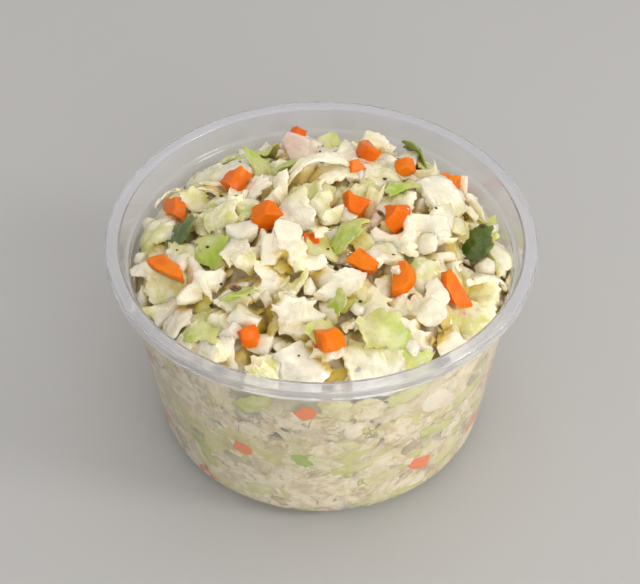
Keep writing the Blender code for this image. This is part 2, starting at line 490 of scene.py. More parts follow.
def model_sheet(dice, length, width, thickness, bend, ruffle, ragged, cuts=5, spacing=0.00078, thin=0.22,
                twist=0.0,
                crinkle=0.00028, lobes=0.16):
    """A chopped piece of leaf: a grid cut to an uneven outline, bent and ruffled, thicker towards its rib."""
    clear_selection()
    across = (max(2, round(length / spacing)), max(2, round(width / spacing)))
    bpy.ops.mesh.primitive_grid_add(x_subdivisions=across[0], y_subdivisions=across[1], size=1.0)
    sheet = bpy.context.active_object
    bpy.ops.object.mode_set(mode="EDIT")
    bpy.ops.transform.resize(value=(length, width, 1.0))
    if cuts:
        trim(dice, length, width, 0.0, cuts, (0.74, 1.0), False)
    bpy.ops.mesh.select_all(action="SELECT")
    bpy.ops.mesh.remove_doubles(threshold=spacing * 0.4)
    bpy.ops.object.mode_set(mode="OBJECT")
    form = bmesh.new()
    form.from_mesh(sheet.data)
    rim = np.array([vertex.is_boundary for vertex in form.verts])
    form.free()
    flat = np.array([(vertex.co.x, vertex.co.y) for vertex in sheet.data.vertices])
    from_rim = np.hypot(*(flat[:, None, :] - flat[rim][None, :, :]).transpose(2, 0, 1)).min(axis=1)
    shift = dice.uniform(0.0, 100.0)
    tilt = dice.uniform(-0.7, 0.7)
    cos_t, sin_t = math.cos(tilt), math.sin(tilt)
    weights = []
    for vertex, outer, inside in zip(sheet.data.vertices, rim, from_rim):
        x, y = vertex.co.x, vertex.co.y
        around = math.atan2(y / width, x / length)
        ring = Vector((math.cos(around) * 1.5, math.sin(around) * 1.5, shift))
        share = min(math.hypot(x / length, y / width) * 2.0, 1.2)
        lobe = 1.0 + share**2 * (lobes * 1.6 * noise.noise(ring) + lobes * noise.noise(ring * 2.6))
        jag = noise.noise_vector(Vector((x / 0.0012, y / 0.0012, shift))) * (
            ragged if outer else ragged * 0.25
        )
        u, v = x * lobe + jag.x, y * lobe + jag.y
        rib = min(max(0.5 - x / length + 0.3 * noise.noise(Vector((x / 0.004, y / 0.004, shift))), 0.0), 1.0)
        body = min(inside / 0.0016, 1.0) ** 0.7
        weights.append(min((0.55 + 0.45 * rib) * (body + (1.0 - body) * (thin + 0.45 * rib)), 1.0))
        wave = ruffle * noise.noise(Vector((u / 0.0046, v / 0.0046, shift + 20.0))) * (
            0.5 + 0.8 * abs(v) / width
        )
        fold = abs(noise.noise(Vector((u / 0.0032, v / 0.0024, shift + 40.0))))
        wave += crinkle * (noise.noise(Vector((u / 0.0019, v / 0.0015, shift + 60.0))) + 3.0 * (0.5 - fold))
        wave += crinkle * 0.9 * math.exp(-((v + 0.12 * u) / 0.0008) ** 2) * rib
        p, q = u * cos_t + v * sin_t, -u * sin_t + v * cos_t
        arm = bend - wave
        p, lift = arm * math.sin(p / bend), arm * (math.cos(p / bend) - 1.0) + wave
        twirl = twist * (p / length)
        q, lift = q * math.cos(twirl) - lift * math.sin(twirl), q * math.sin(twirl) + lift * math.cos(twirl)
        vertex.co = (p * cos_t - q * sin_t, p * sin_t + q * cos_t, lift)
    group = sheet.vertex_groups.new(name="body")
    for i, weight in enumerate(weights):
        group.add([i], weight, "REPLACE")
    apply_modifier(
        sheet, "SOLIDIFY", thickness=thickness, offset=0.0, vertex_group="body", thickness_vertex_group=0.0
    )
    return keep_shape(sheet, length, (length, width))


def model_chunk(dice, length, width, height, cuts=4, edge=0.0004, rough=0.00042, mesh_size=0.00078):
    """A chopped piece of rib: a block with uneven cut faces, soft edges and a lumpy, layered surface."""
    clear_selection()
    bpy.ops.mesh.primitive_cube_add(size=1.0)
    chunk = bpy.context.active_object
    bpy.ops.object.mode_set(mode="EDIT")
    bpy.ops.transform.resize(value=(length, width, height))
    trim(dice, length, width, height, cuts, (0.66, 0.96), True)
    bpy.ops.mesh.select_all(action="SELECT")
    bpy.ops.mesh.bevel(offset=edge, segments=2, affect="EDGES", clamp_overlap=True)
    bpy.ops.object.mode_set(mode="OBJECT")
    apply_modifier(chunk, "REMESH", mode="VOXEL", voxel_size=mesh_size)
    shift = dice.uniform(0.0, 100.0)
    bend = dice.uniform(0.008, 0.024) * dice.choice((-1.0, 1.0))
    layer = dice.uniform(0.0013, 0.0019)
    for vertex in chunk.data.vertices:
        co = vertex.co
        broad = noise.noise_vector(Vector((co.x / 0.0030, co.y / 0.0030, co.z / 0.0030 + shift))) * rough * 1.3
        fine = noise.noise(Vector((co.x / 0.0013, co.y / 0.0013, co.z / 0.0013 + shift)))
        curve = co.x**2 / (2.0 * bend)
        between = math.exp(-(((co.z - curve) / layer + 0.3) % 1.0 - 0.5) ** 2 / 0.02) * (
            1.0 - abs(vertex.normal.z)
        )
        moved = co + broad + vertex.normal * (fine * rough * 0.55 - between * rough * 0.6)
        vertex.co = (moved.x, moved.y, moved.z - curve)
    return keep_shape(chunk, length)


def model_block(dice, length, width, height, cuts=8, edge=0.00028, rough=0.00030):
    """A chopped piece of rib with crisp flat cut faces, uneven only a little."""
    clear_selection()
    bpy.ops.mesh.primitive_cube_add(size=1.0)
    block = bpy.context.active_object
    bpy.ops.object.mode_set(mode="EDIT")
    bpy.ops.transform.resize(value=(length, width, height))
    trim(dice, length, width, height, cuts, (0.62, 0.90), True)
    bpy.ops.mesh.select_all(action="SELECT")
    bpy.ops.mesh.bevel(offset=edge, segments=1, affect="EDGES", clamp_overlap=True)
    bpy.ops.mesh.select_all(action="SELECT")
    bpy.ops.mesh.quads_convert_to_tris(quad_method="BEAUTY", ngon_method="BEAUTY")
    bpy.ops.mesh.subdivide(number_cuts=1)
    bpy.ops.mesh.remove_doubles(threshold=0.00012)
    bpy.ops.object.mode_set(mode="OBJECT")
    shift = dice.uniform(0.0, 100.0)
    bend = dice.uniform(0.010, 0.030) * dice.choice((-1.0, 1.0))
    for vertex in block.data.vertices:
        co = vertex.co
        broad = noise.noise_vector(Vector((co.x / 0.0034, co.y / 0.0034, co.z / 0.0034 + shift))) * rough * 1.6
        fine = noise.noise_vector(Vector((co.x / 0.0014, co.y / 0.0014, co.z / 0.0014 + shift))) * rough * 0.7
        moved = co + broad + fine
        vertex.co = (moved.x, moved.y, moved.z - moved.x**2 / (2.0 * bend))
    return keep_shape(block, length)


def model_clump(dice, length, width, height, parts, mesh_size=0.00050, rough=0.00034):
    """Chopped bits of rib stuck together by the dressing: cut blocks turned every way and joined."""
    clear_selection()
    bpy.ops.mesh.primitive_cube_add(size=0.4 * height)
    clump = bpy.context.active_object
    bpy.ops.object.mode_set(mode="EDIT")
    for _ in range(parts):
        size = Vector((
            dice.uniform(0.42, 0.80) * length,
            dice.uniform(0.42, 0.8) * width,
            dice.uniform(0.3, 0.6) * height,
        ))
        place = Vector([dice.uniform(-0.28, 0.28) * reach for reach in (length, width, height)])
        turn = (dice.uniform(-0.7, 0.7), dice.uniform(-0.7, 0.7), dice.uniform(0.0, math.tau))
        bpy.ops.mesh.select_all(action="DESELECT")
        bpy.ops.mesh.primitive_cube_add(size=1.0, location=place, rotation=turn, scale=size)
        for _ in range(3):
            normal = Vector([dice.uniform(-1.0, 1.0) for _ in range(3)]).normalized()
            cut = place + normal * dice.uniform(0.22, 0.40) * min(size)
            bpy.ops.mesh.bisect(plane_co=cut, plane_no=normal, clear_outer=True, use_fill=True)
            bpy.ops.mesh.select_linked()
    bpy.ops.object.mode_set(mode="OBJECT")
    apply_modifier(clump, "REMESH", mode="VOXEL", voxel_size=mesh_size)
    shift = dice.uniform(0.0, 100.0)
    for vertex in clump.data.vertices:
        co = vertex.co
        broad = noise.noise_vector(Vector((co.x / 0.0028, co.y / 0.0028, co.z / 0.0028 + shift))) * rough * 1.2
        fine = noise.noise(Vector((co.x / 0.0015, co.y / 0.0015, co.z / 0.0015 + shift)))
        vertex.co = co + broad + vertex.normal * fine * rough * 0.8
    return keep_shape(clump, length)


def model_dice(dice, length, width, height, cuts=3, edge=0.00022):
    """A chopped piece of carrot: a small block with flat cut faces and fine edges."""
    clear_selection()
    bpy.ops.mesh.primitive_cube_add(size=1.0)
    block = bpy.context.active_object
    bpy.ops.object.mode_set(mode="EDIT")
    bpy.ops.transform.resize(value=(length, width, height))
    trim(dice, length, width, height, cuts, (0.60, 0.95), True)
    bpy.ops.mesh.select_all(action="SELECT")
    bpy.ops.mesh.subdivide(number_cuts=2)
    bpy.ops.mesh.remove_doubles(threshold=0.00025)
    bpy.ops.object.mode_set(mode="OBJECT")
    shift = dice.uniform(0.0, 100.0)
    for vertex in block.data.vertices:
        wobble = noise.noise_vector(vertex.co / 0.0024 + Vector((0.0, 0.0, shift)))
        vertex.co += wobble * 0.00055
    apply_modifier(
        block, "BEVEL", width=edge, segments=2, limit_method="ANGLE", angle_limit=math.radians(26.0)
    )
    return keep_shape(block, length)


def model_stack(dice, layers, length, width):
    """Two or three leaf layers still lying together, as chopped from the head."""
    parts = []
    bend = dice.uniform(0.008, 0.016)
    state = dice.random()
    for i in range(layers):
        local = random.Random(state + i * 0.01)
        part = model_sheet(
            local, length * local.uniform(0.75, 1.0), width * local.uniform(0.75, 1.0), 0.0011, bend, 0.0008,
            0.0010,
            spacing=0.0007, lobes=0.2,
        )
        spin = Matrix.Rotation(local.uniform(-0.5, 0.5), 3, "Z") @ Matrix.Rotation(
            local.uniform(-0.22, 0.22), 3, "X"
        )
        part.points = part.points @ np.array(spin).T
        part.points += np.array((local.uniform(-0.0013, 0.0013), local.uniform(-0.0013, 0.0013), i * 0.0012))
        parts.append(part)
    return merge_shapes(parts)


def merge_shapes(parts):
    """Several shapes as one."""
    whole = parts[0]
    offset, corner_offset = 0, 0
    corners, starts = [], []
    for part in parts:
        corners.append(part.corners + offset)
        starts.append(part.starts + corner_offset)
        offset += len(part.points)
        corner_offset += len(part.corners)
    whole.points = np.vstack([part.points for part in parts])
    whole.along = np.concatenate([part.along for part in parts])
    whole.edge = np.concatenate([part.edge for part in parts])
    whole.grain = np.vstack([part.grain for part in parts])
    whole.corners, whole.starts = np.concatenate(corners), np.concatenate(starts)
    whole.points -= (whole.points.min(axis=0) + whole.points.max(axis=0)) / 2
    whole.reach = float(np.hypot(whole.points[:, 0], whole.points[:, 1]).max())
    ends = np.append(whole.starts, len(whole.corners))[1:]
    sums = np.add.reduceat(whole.points[whole.corners], whole.starts, axis=0)
    whole.samples = np.vstack([whole.points, sums / (ends - whole.starts)[:, None]])
    return whole


def model_shapes(seed):
    """Every shape the loose pieces are copied from, by kind."""
    dice = random.Random(seed)
    draw = dice.uniform
    shapes = {}
    shapes["flake"] = [
        model_sheet(dice, draw(11.0, 17.0) * MM, draw(8.5, 12.0) * MM, draw(1.8, 3.0) * MM,
                    draw(6.0, 12.0) * MM,
                    draw(1.2, 2.3) * MM, draw(0.5, 1.0) * MM, dice.choice((4, 5, 6)), spacing=0.00060,
                    lobes=0.16,
                    crinkle=0.00040, thin=0.34)
        for _ in range(16)
    ]
    shapes["leaf"] = [
        model_sheet(dice, draw(8.0, 12.0) * MM, draw(6.0, 9.0) * MM, draw(0.6, 1.0) * MM,
                    draw(6.0, 11.0) * MM,
                    draw(1.6, 2.8) * MM, draw(0.8, 1.3) * MM, dice.choice((4, 5)), thin=0.35, lobes=0.22)
        for _ in range(8)
    ]
    shapes["chunk"] = [
        model_block(dice, draw(5.5, 9.0) * MM, draw(4.4, 7.0) * MM, draw(3.0, 4.8) * MM,
                    dice.choice((6, 7, 8, 9)),
                    rough=0.00055)
        for _ in range(10)
    ]
    shapes["clump"] = [
        model_clump(
            dice, draw(9.5, 15.0) * MM, draw(7.5, 11.0) * MM, draw(4.5, 7.0) * MM, dice.choice((5, 7, 9))
        )
        for _ in range(18)
    ]
    shapes["shred"] = [
        model_sheet(dice, draw(11.0, 17.0) * MM, draw(3.0, 5.0) * MM, draw(1.0, 1.6) * MM,
                    draw(6.0, 11.0) * MM,
                    draw(0.5, 1.0) * MM, draw(0.4, 0.7) * MM, 0, twist=draw(-1.2, 1.2), thin=0.4)
        for _ in range(8)
    ]
    shapes["stack"] = [
        model_stack(dice, dice.choice((3, 4)), draw(8.0, 12.0) * MM, draw(6.0, 9.0) * MM) for _ in range(7)
    ]
    shapes["crumb"] = [
        model_block(dice, draw(3.0, 5.0) * MM, draw(2.4, 3.6) * MM, draw(1.8, 2.6) * MM,
                    dice.choice((4, 5, 6)), edge=0.0002,
                    rough=0.00040)
        for _ in range(6)
    ]
    shapes["carrot"] = [
        model_dice(dice, 6.4 * MM, 5.6 * MM, 3.8 * MM, 3),
        model_dice(dice, 8.0 * MM, 4.8 * MM, 3.2 * MM, 4),
        model_dice(dice, 9.5 * MM, 3.6 * MM, 3.0 * MM, 3),
        model_dice(dice, 7.0 * MM, 5.4 * MM, 2.8 * MM, 4),
        model_dice(dice, 4.8 * MM, 3.6 * MM, 2.8 * MM, 3),
        model_dice(dice, 6.8 * MM, 5.6 * MM, 4.0 * MM, 4),
    ]
    return shapes


# ---- Laying the loose pieces on the heap --------------------------------------------------------
class Pile:
    """How high the salad stands, on a grid seen from above, while pieces are dropped on it one by one."""

    def __init__(self, scene, shapes, dice):
        cup, self.heap = scene.coleslaw_cup, scene.coleslaw_heap
        self.shapes, self.dice = shapes, dice
        self.wall = WallLine(cup)
        self.inside = cup.wall / 2
        self.contact_radius = float(self.wall.radius_at_height(self.heap.contact_height)) - self.inside
        self.half = self.contact_radius + 4 * CELL
        self.count = int(2 * self.half / CELL) + 1
        ticks = (np.arange(self.count) + 0.5) * CELL - self.half
        self.x, self.y = np.meshgrid(ticks, ticks, indexing="ij")
        radius = np.hypot(self.x, self.y)
        surface = heap_height(self.heap, radius, self.contact_radius)
        broad = np.array([[swell(x, y) for y in ticks] for x in ticks])
        calm = 1.0 - smoothstep(0.80, 1.0, radius / self.contact_radius)
        near_side = smoothstep(0.35, 0.9, -self.y / np.maximum(radius, CELL))
        lifted = 0.0022 * near_side * smoothstep(0.70, 0.92, radius / self.contact_radius)
        self.target = surface + broad * calm + lifted
        thinner = 1.0 - 0.5 * smoothstep(0.86, 1.0, radius / self.contact_radius)
        self.level = self.target - self.heap.bed_depth * thinner
        self.usable = radius < self.contact_radius - 0.0010
        own = random.Random(self.heap.seed + 20)
        for share, clock in scattered(own, OPEN_PLACES, 0.38, 0.90, 0.30):
            width, depth = own.uniform(2.2, 3.4) * MM, own.uniform(3.5, 6.0) * MM
            x, y = spot(share, clock, self.contact_radius)
            away = np.hypot(self.x - x, self.y - y)
            self.target -= depth * (1.0 - smoothstep(width * 0.6, width * 1.5, away))
        self.held = np.zeros_like(self.level, dtype=bool)
        self.placed = []

    def index(self, points):
        cells = np.floor((points[:, :2] + self.half) / CELL).astype(int)
        return np.clip(cells, 0, self.count - 1) @ np.array((self.count, 1))

    def smooth_height(self, x, y):
        """Height of the finished heap without its small steps, between the cells of the grid."""
        i, j = (min(max((value + self.half) / CELL - 0.5, 0.0), self.count - 1.001) for value in (x, y))
        low_i, low_j = int(i), int(j)
        i, j = i - low_i, j - low_j
        block = self.smooth[low_i : low_i + 2, low_j : low_j + 2]
        near, far = block[0] * (1.0 - i) + block[1] * i
        return float(near * (1.0 - j) + far * j)

    def slope(self, x, y):
        """Direction square to the pile's surface near a place, from its mean over a few millimetres."""
        reach = 4
        i, j = (int((value + self.half) / CELL) for value in (x, y))
        i, j = (min(max(value, reach + 1), self.count - reach - 2) for value in (i, j))
        block = self.level[i - reach : i + reach + 1, j - reach : j + reach + 1]
        dx = (block[reach + 1 :].mean() - block[:reach].mean()) / ((reach + 1) * CELL)
        dy = (block[:, reach + 1 :].mean() - block[:, :reach].mean()) / ((reach + 1) * CELL)
        return Vector((-dx, -dy, 1.0)).normalized()

    def turned(self, shape, normal, spin, tilt, tilt_turn):
        """A shape's samples and points, laid on a slope, spun and tipped."""
        lean = Matrix.Rotation(tilt, 3, Vector((math.cos(tilt_turn), math.sin(tilt_turn), 0.0)))
        lay = normal.to_track_quat("Z", "Y").to_matrix()
        matrix = np.array(lay @ lean @ Matrix.Rotation(spin, 3, "Z"))
        return shape.points @ matrix.T, shape.samples @ matrix.T

    def inner_limit(self, height):
        return self.wall.radius_at_height(height) - self.inside - 0.00012

    def settle(self, points, samples, x, y, snug):
        """Moves a turned piece to its place, lets it down on the pile and presses it inside the wall."""
        shift = np.array((x, y, 0.0))
        points, samples = points + shift, samples + shift
        for _ in range(2):
            height = self.level.flat[self.index(samples[:1])][0]
            radius = np.hypot(samples[:, 0], samples[:, 1])
            excess = float((radius - self.inner_limit(samples[:, 2] + height)).max())
            if excess > 0.0 and math.hypot(x, y) > 0.001:
                inward = np.array((-x, -y, 0.0)) / math.hypot(x, y) * excess * 0.6
                points, samples = points + inward, samples + inward
        for cloud in (points, samples):
            radius = np.hypot(cloud[:, 0], cloud[:, 1])
            limit = self.inner_limit(cloud[:, 2] + height)
            cloud[:, :2] *= np.minimum(1.0, limit / np.maximum(radius, 1e-6))[:, None]
        cells = self.index(samples)
        order = np.argsort(cells, kind="stable")
        unique, first = np.unique(cells[order], return_index=True)
        heights = samples[order, 2]
        bottom, top = np.minimum.reduceat(heights, first), np.maximum.reduceat(heights, first)
        gap = self.level.flat[unique] - bottom
        lift = float(np.quantile(gap, snug))
        return points, unique, top + lift, lift, float(np.mean(lift - gap))

    def place(self, kind, x, y, tries=6, steep=0.30, snug=0.80, shape=None, spin=None, tilt=None, lift_by=0.0,
              tone=None,
              tilt_turn=None):
        """Tries a piece a few ways round and keeps the way that lies snuggest without standing too proud."""
        dice = self.dice
        normal = self.slope(x, y)
        best = None
        for _ in range(tries if spin is None else 1):
            chosen = self.shapes[kind][shape] if shape is not None else dice.choice(self.shapes[kind])
            lean = tilt if tilt is not None else (
                dice.uniform(0.5, 1.2) if dice.random() < steep else dice.uniform(0.0, 0.4)
            )
            turn = spin if spin is not None else dice.uniform(0.0, math.tau)
            lean_turn = tilt_turn if tilt_turn is not None else dice.uniform(0.0, math.tau)
            points, samples = self.turned(chosen, normal, turn, lean, lean_turn)
            points, unique, top, lift, empty = self.settle(points, samples, x, y, snug)
            proud = float(np.maximum(top - self.target.flat[unique] - 0.0006, 0.0).mean())
            covers = float(self.held.flat[unique].mean())
            score = empty + 1.6 * proud + 0.02 * covers
            if best is None or score < best[0]:
                best = (score, chosen, points, unique, top, lift, covers, proud)
        score, chosen, points, unique, top, lift, covers, proud = best
        if spin is None and (covers > 0.12 or proud > 0.0021):
            return False
        points = points + np.array((0.0, 0.0, lift + lift_by))
        self.level.flat[unique] = np.maximum(self.level.flat[unique], top + lift_by)
        self.placed.append({"kind": kind, "shape": chosen, "points": points, "tone": tone, "cells": unique})
        return True

    def fill(self, mix, short_by, most, tries=6, steep=0.30, snug=0.7):
        """Drops pieces where the pile is lowest until it is nowhere short by more than a given depth."""
        kinds, weights = list(mix), list(mix.values())
        blocked = np.zeros_like(self.held)
        for _ in range(most):
            short = np.where(self.usable & ~blocked & ~self.held, self.target - self.level, -1.0)
            deepest = float(short.max())
            if deepest < short_by:
                break
            choices = np.flatnonzero(short >= deepest * 0.82)
            cell = int(choices[self.dice.randrange(len(choices))])
            kind = self.dice.choices(kinds, weights)[0]
            x = float(self.x.flat[cell]) + self.dice.uniform(-0.5, 0.5) * CELL
            y = float(self.y.flat[cell]) + self.dice.uniform(-0.5, 0.5) * CELL
            if not self.place(kind, x, y, tries, steep, snug):
                away = np.hypot(self.x - x, self.y - y)
                blocked |= away < CELL * 1.2


OPEN_PLACES = 11  # places where the heap stays open, down to darker leaf

# Showing pieces: kind, how many, and the ranges from which tilt in degrees, height above the heap in mm
# and tone are drawn.
SHOWING = (
    ("dark_leaf", 3, (15, 45), (-0.4, 0.8), (0.4, 0.85)),
    ("frill", 6, (12, 45), (0.2, 1.4), (0.5, 0.86)),
    ("leaf", 3, (8, 25), (0.4, 0.5), (0.55, 0.74)),
    ("carrot", 15, (12, 32), (-0.2, 0.2), (0.1, 0.7)),
    ("blush", 1, (10, 18), (0.7, 0.9), (0.0, 0.1)),
    ("clump", 7, (6, 15), (-1.2, -0.2), (0.02, 0.22)),
    ("flake", 1, (15, 25), (0.6, 1.0), (0.05, 0.1)),
    ("shred", 1, (15, 25), (1.0, 1.6), (0.1, 0.2)),
)


def lay_out_salad(scene):
    """Fills the heap: a deep mixed bed, then the showing pieces, then the finishing pieces round them."""
    heap = scene.coleslaw_heap
    dice = random.Random(heap.seed)
    shapes = model_shapes(heap.seed + 1)
    own = random.Random(heap.seed + 2)
    shapes["frill"] = [
        model_sheet(
            own, 9.0 * MM, 7.5 * MM, 0.6 * MM, 9.0 * MM, 2.6 * MM, 2.0 * MM, 5, spacing=0.0012, thin=0.6
        ),
        model_sheet(
            own, 13.0 * MM, 10.0 * MM, 0.7 * MM, 9.0 * MM, 2.6 * MM, 1.4 * MM, 5, spacing=0.0008, thin=0.6
        ),
        model_sheet(
            own, 12.0 * MM, 10.0 * MM, 0.7 * MM, 10.0 * MM, 2.4 * MM, 1.2 * MM, 4, spacing=0.0008, thin=0.6
        ),
        model_sheet(
            own, 6.0 * MM, 5.0 * MM, 0.6 * MM, 8.0 * MM, 1.6 * MM, 1.4 * MM, 5, spacing=0.0011, thin=0.6
        ),
    ]
    shapes["dark_leaf"] = [
        model_sheet(own, 10.0 * MM, 8.0 * MM, 0.7 * MM, 14.0 * MM, 1.2 * MM, 0.8 * MM, 5),
        model_sheet(own, 9.0 * MM, 6.5 * MM, 0.7 * MM, 12.0 * MM, 1.2 * MM, 0.8 * MM, 5),
    ]
    shapes["flat_flake"] = [
        model_sheet(own, own.uniform(8.0, 14.0) * MM, own.uniform(4.5, 8.0) * MM, 1.0 * MM, 1.0, 0.0,
                    0.6 * MM, 5,
                    thin=0.3, crinkle=0.00003, lobes=0.1)
        for _ in range(10)
    ]
    shapes["flat_leaf"] = [
        model_sheet(own, own.uniform(7.5, 12.0) * MM, own.uniform(3.5, 5.5) * MM, 0.8 * MM, 1.0, 0.0,
                    0.8 * MM, 4,
                    thin=0.3, crinkle=0.00004, lobes=0.12)
        for _ in range(5)
    ]
    shapes["flat_shred"] = [
        model_sheet(own, own.uniform(10.0, 16.0) * MM, own.uniform(1.6, 2.8) * MM, 0.9 * MM, 1.0, 0.0,
                    0.6 * MM, 0,
                    thin=0.4, crinkle=0.00003)
        for _ in range(4)
    ]
    shapes["flat_dark"] = [
        model_sheet(
            own, 7.0 * MM, 4.5 * MM, 0.7 * MM, 1.0, 0.0, 1.0 * MM, 5, thin=0.3, crinkle=0.00003, lobes=0.25
        )
    ]
    shapes["blush"] = [model_chunk(own, 9.0 * MM, 7.5 * MM, 3.6 * MM, 5, mesh_size=0.0007)]
    pile = Pile(scene, shapes, dice)
    bed = {"flake": 28, "clump": 28, "chunk": 14, "stack": 10, "shred": 5, "leaf": 8, "crumb": 4, "carrot": 1}
    pile.fill(bed, 0.0022, heap.loose_limit // 2, tries=5, snug=0.5)
    radius = pile.contact_radius
    own = random.Random(heap.seed + 24)
    showing = [row for row in SHOWING for _ in range(row[1])]
    own.shuffle(showing)
    for (kind, _, tilt, raised, tone), place in zip(showing, scattered(own, len(showing), 0.12, 0.88, 0.25)):
        x, y = spot(*place, radius)
        turn = own.uniform(0.0, math.tau)
        laid = pile.place(kind, x, y, shape=own.randrange(len(shapes[kind])), spin=turn, tilt_turn=turn,
                          tilt=math.radians(own.uniform(*tilt)), lift_by=own.uniform(*raised) * MM,
                          tone=own.uniform(*tone), snug=0.6)
        if not laid:
            continue
        middle = pile.placed[-1]["points"].mean(axis=0)
        away = np.hypot(pile.x - middle[0], pile.y - middle[1])
        pile.held |= away < (0.36 if kind == "carrot" else 0.55) * pile.placed[-1]["shape"].reach
    finish = {"flake": 44, "clump": 24, "chunk": 4, "stack": 14, "shred": 8, "leaf": 6}
    pile.fill(finish, 0.0008, heap.loose_limit - len(pile.placed), tries=6, steep=0.5, snug=0.55)
    pile.fill({"crumb": 40, "flake": 60}, 0.0014, 90, tries=6, steep=0.3, snug=0.5)
    smooth = pile.level.copy()
    smooth[~pile.usable] = pile.target[~pile.usable]
    mean = soften(smooth, 10)
    # Painted shade: the deeper a point lies under the evened-out heap, the more painted shade colour it gets
    for piece in pile.placed:
        under = mean.flat[pile.index(piece["points"])] - piece["points"][:, 2]
        piece["painted_shade"] = np.clip((under - 0.0003) / 0.0034, 0.0, 1.0)
    for _ in range(3):
        inner = smooth[1:-1, 1:-1]
        for near in (smooth[:-2, 1:-1], smooth[2:, 1:-1], smooth[1:-1, :-2], smooth[1:-1, 2:]):
            inner = np.minimum(inner, near)
        smooth[1:-1, 1:-1] = inner
    pile.smooth = soften(smooth, 5)
    return pile


def soften(heights, rounds):
    """Heights on a grid, evened out with their neighbours a number of times."""
    smooth = heights.copy()
    for _ in range(rounds):
        smooth[1:-1, 1:-1] = (
            smooth[1:-1, 1:-1] * 2 + smooth[:-2, 1:-1] + smooth[2:, 1:-1] + smooth[1:-1, :-2] + smooth[1:-1, 2:]
        ) / 6.0
    return smooth


# ---- Pieces pressed on the wall -----------------------------------------------------------------
NEAR_SIDE = (130.0, 230.0)  # clock angles of the side that is seen, where pieces reach higher up the wall
NEAR_REACH, FAR_REACH = 0.0012, -0.0010  # middle of the highest piece, from where the heap leaves the wall
NEAR_EDGE, FAR_EDGE = 0.0026, 0.0008  # the same for its upper edge
WALL_START = 0.031  # along the wall's line, from the middle of the base: where the pressed pieces begin
WALL_TURN_RADIUS = 0.040  # turns an angle round the wall into a distance
FLAT_SHARE = {"carrot": 0.2, "blush": 0.2}  # how much of its thickness a pressed piece keeps
CHUNK_FLAT_SHARE = 0.45


def is_near(clock):
    return NEAR_SIDE[0] < clock < NEAR_SIDE[1]


def press_on_wall(wall, highest, shape, clock, along, spin, contact_depth, curl, shift, flatten, pressed):
    """A copy of a shape wrapped on the inside of the wall; what is over the pressed level lies flat on it."""
    turn = math.radians(spin)
    local = shape.points.copy()
    local[:, 2] *= flatten
    u = local[:, 0] * math.cos(turn) - local[:, 1] * math.sin(turn)
    v = local[:, 0] * math.sin(turn) + local[:, 1] * math.cos(turn)
    top = float(np.quantile(local[:, 2], pressed))
    away = np.array([noise.noise(Vector((a / 0.0035, b / 0.0035, shift))) for a, b in zip(u, v)])
    depth = contact_depth + np.maximum(top - local[:, 2], 0.0) + curl * np.clip(away, 0.0, 1.0)
    radius, height, out_r, out_z = wall.at(np.minimum(along + v, highest + 0.25 * (along + v - highest)))
    angle = math.radians(clock) + u / np.maximum(radius, 0.012)
    radius, height = radius - out_r * depth, height - out_z * depth
    return np.stack([radius * np.sin(angle), radius * np.cos(angle), height], axis=1)


def lay_on_wall(scene, shapes):
    """Cabbage, leaf and carrot pressed flat on the wall and round the corner of the base."""
    cup, heap = scene.coleslaw_cup, scene.coleslaw_heap
    wall = WallLine(cup)
    dice = random.Random(heap.seed + 5)
    inner = cup.wall / 2
    contact = wall.along_at_height(heap.contact_height)
    pieces, spots = [], []

    def press(kind, shape, clock, along, spin, tone, depth_share, curl, sunk):
        chosen = shapes[kind][shape]
        sheet = kind.startswith("flat_")
        edge = contact + (NEAR_EDGE if is_near(clock) else FAR_EDGE)
        flatten = 1.0 if sheet else FLAT_SHARE.get(kind, CHUNK_FLAT_SHARE)
        pressed = 0.62 if sheet else 0.42
        shift = dice.uniform(0.0, 90.0)
        points = press_on_wall(
            wall, edge, chosen, clock, along, spin, inner * depth_share, curl, shift, flatten, pressed
        )
        pieces.append({"kind": kind, "shape": chosen, "points": points, "tone": tone,
                       "painted_shade": np.full(len(points), sunk)})
        spots.append((math.radians(clock), along))

    def is_clear(clock, along, apart):
        for angle, other in spots:
            gap = (math.radians(clock) - angle + math.pi) % math.tau - math.pi
            if math.hypot(gap * WALL_TURN_RADIUS, along - other) < apart:
                return False
        return True

    for kind in ("blush", "flat_dark"):
        along = wall.along_at_height(dice.uniform(20.0, 38.0) * MM)
        press(kind, 0, dice.uniform(0.0, 360.0), along, dice.uniform(0.0, 90.0), 0.3, 0.28, 0.0, 0.05)
    cabbage = {"flat_flake": 30, "chunk": 24, "clump": 12, "flat_shred": 14, "crumb": 8}
    for kinds, most, apart in (
        ({"carrot": 10, "flat_leaf": 12}, 50, 0.0100), (cabbage, heap.wall_count, 0.0042)
    ):
        names, weights = list(kinds), list(kinds.values())
        coloured = "carrot" in kinds
        placed = tries = 0
        while placed < most and tries < most * 30:
            tries += 1
            clock = dice.uniform(0.0, 360.0)
            highest = contact + (NEAR_REACH if is_near(clock) else FAR_REACH)
            along = WALL_START + (highest - WALL_START) * dice.random()
            if not is_clear(clock, along, apart):
                continue
            kind = dice.choices(names, weights)[0]
            shape, spin = dice.randrange(len(shapes[kind])), dice.gauss(0.0, 38.0)
            if coloured:
                press(kind, shape, clock, along, spin, dice.uniform(0.38, 0.66), 0.30, 0.0, 0.1)
            else:
                # How far back a piece lies from the wall; it also sets how much painted shade the piece gets
                sunk = 0.5 * dice.random() ** 2
                press(kind, shape, clock, along, spin, dice.uniform(0.0, 0.3), 0.36 + 0.3 * sunk,
                      dice.uniform(0.0001, 0.0008), sunk)
            placed += 1
    return pieces


# ---- Building the joined pieces -----------------------------------------------------------------
salad = {}  # the laid-out pieces, shared by the operators that build them


def laid_salad(scene):
    """The layout, worked out once."""
    if not salad:
        pile = lay_out_salad(scene)
        salad["pile"] = pile
        salad["pieces"] = pile.placed
        salad["wall"] = lay_on_wall(scene, pile.shapes)
    return salad


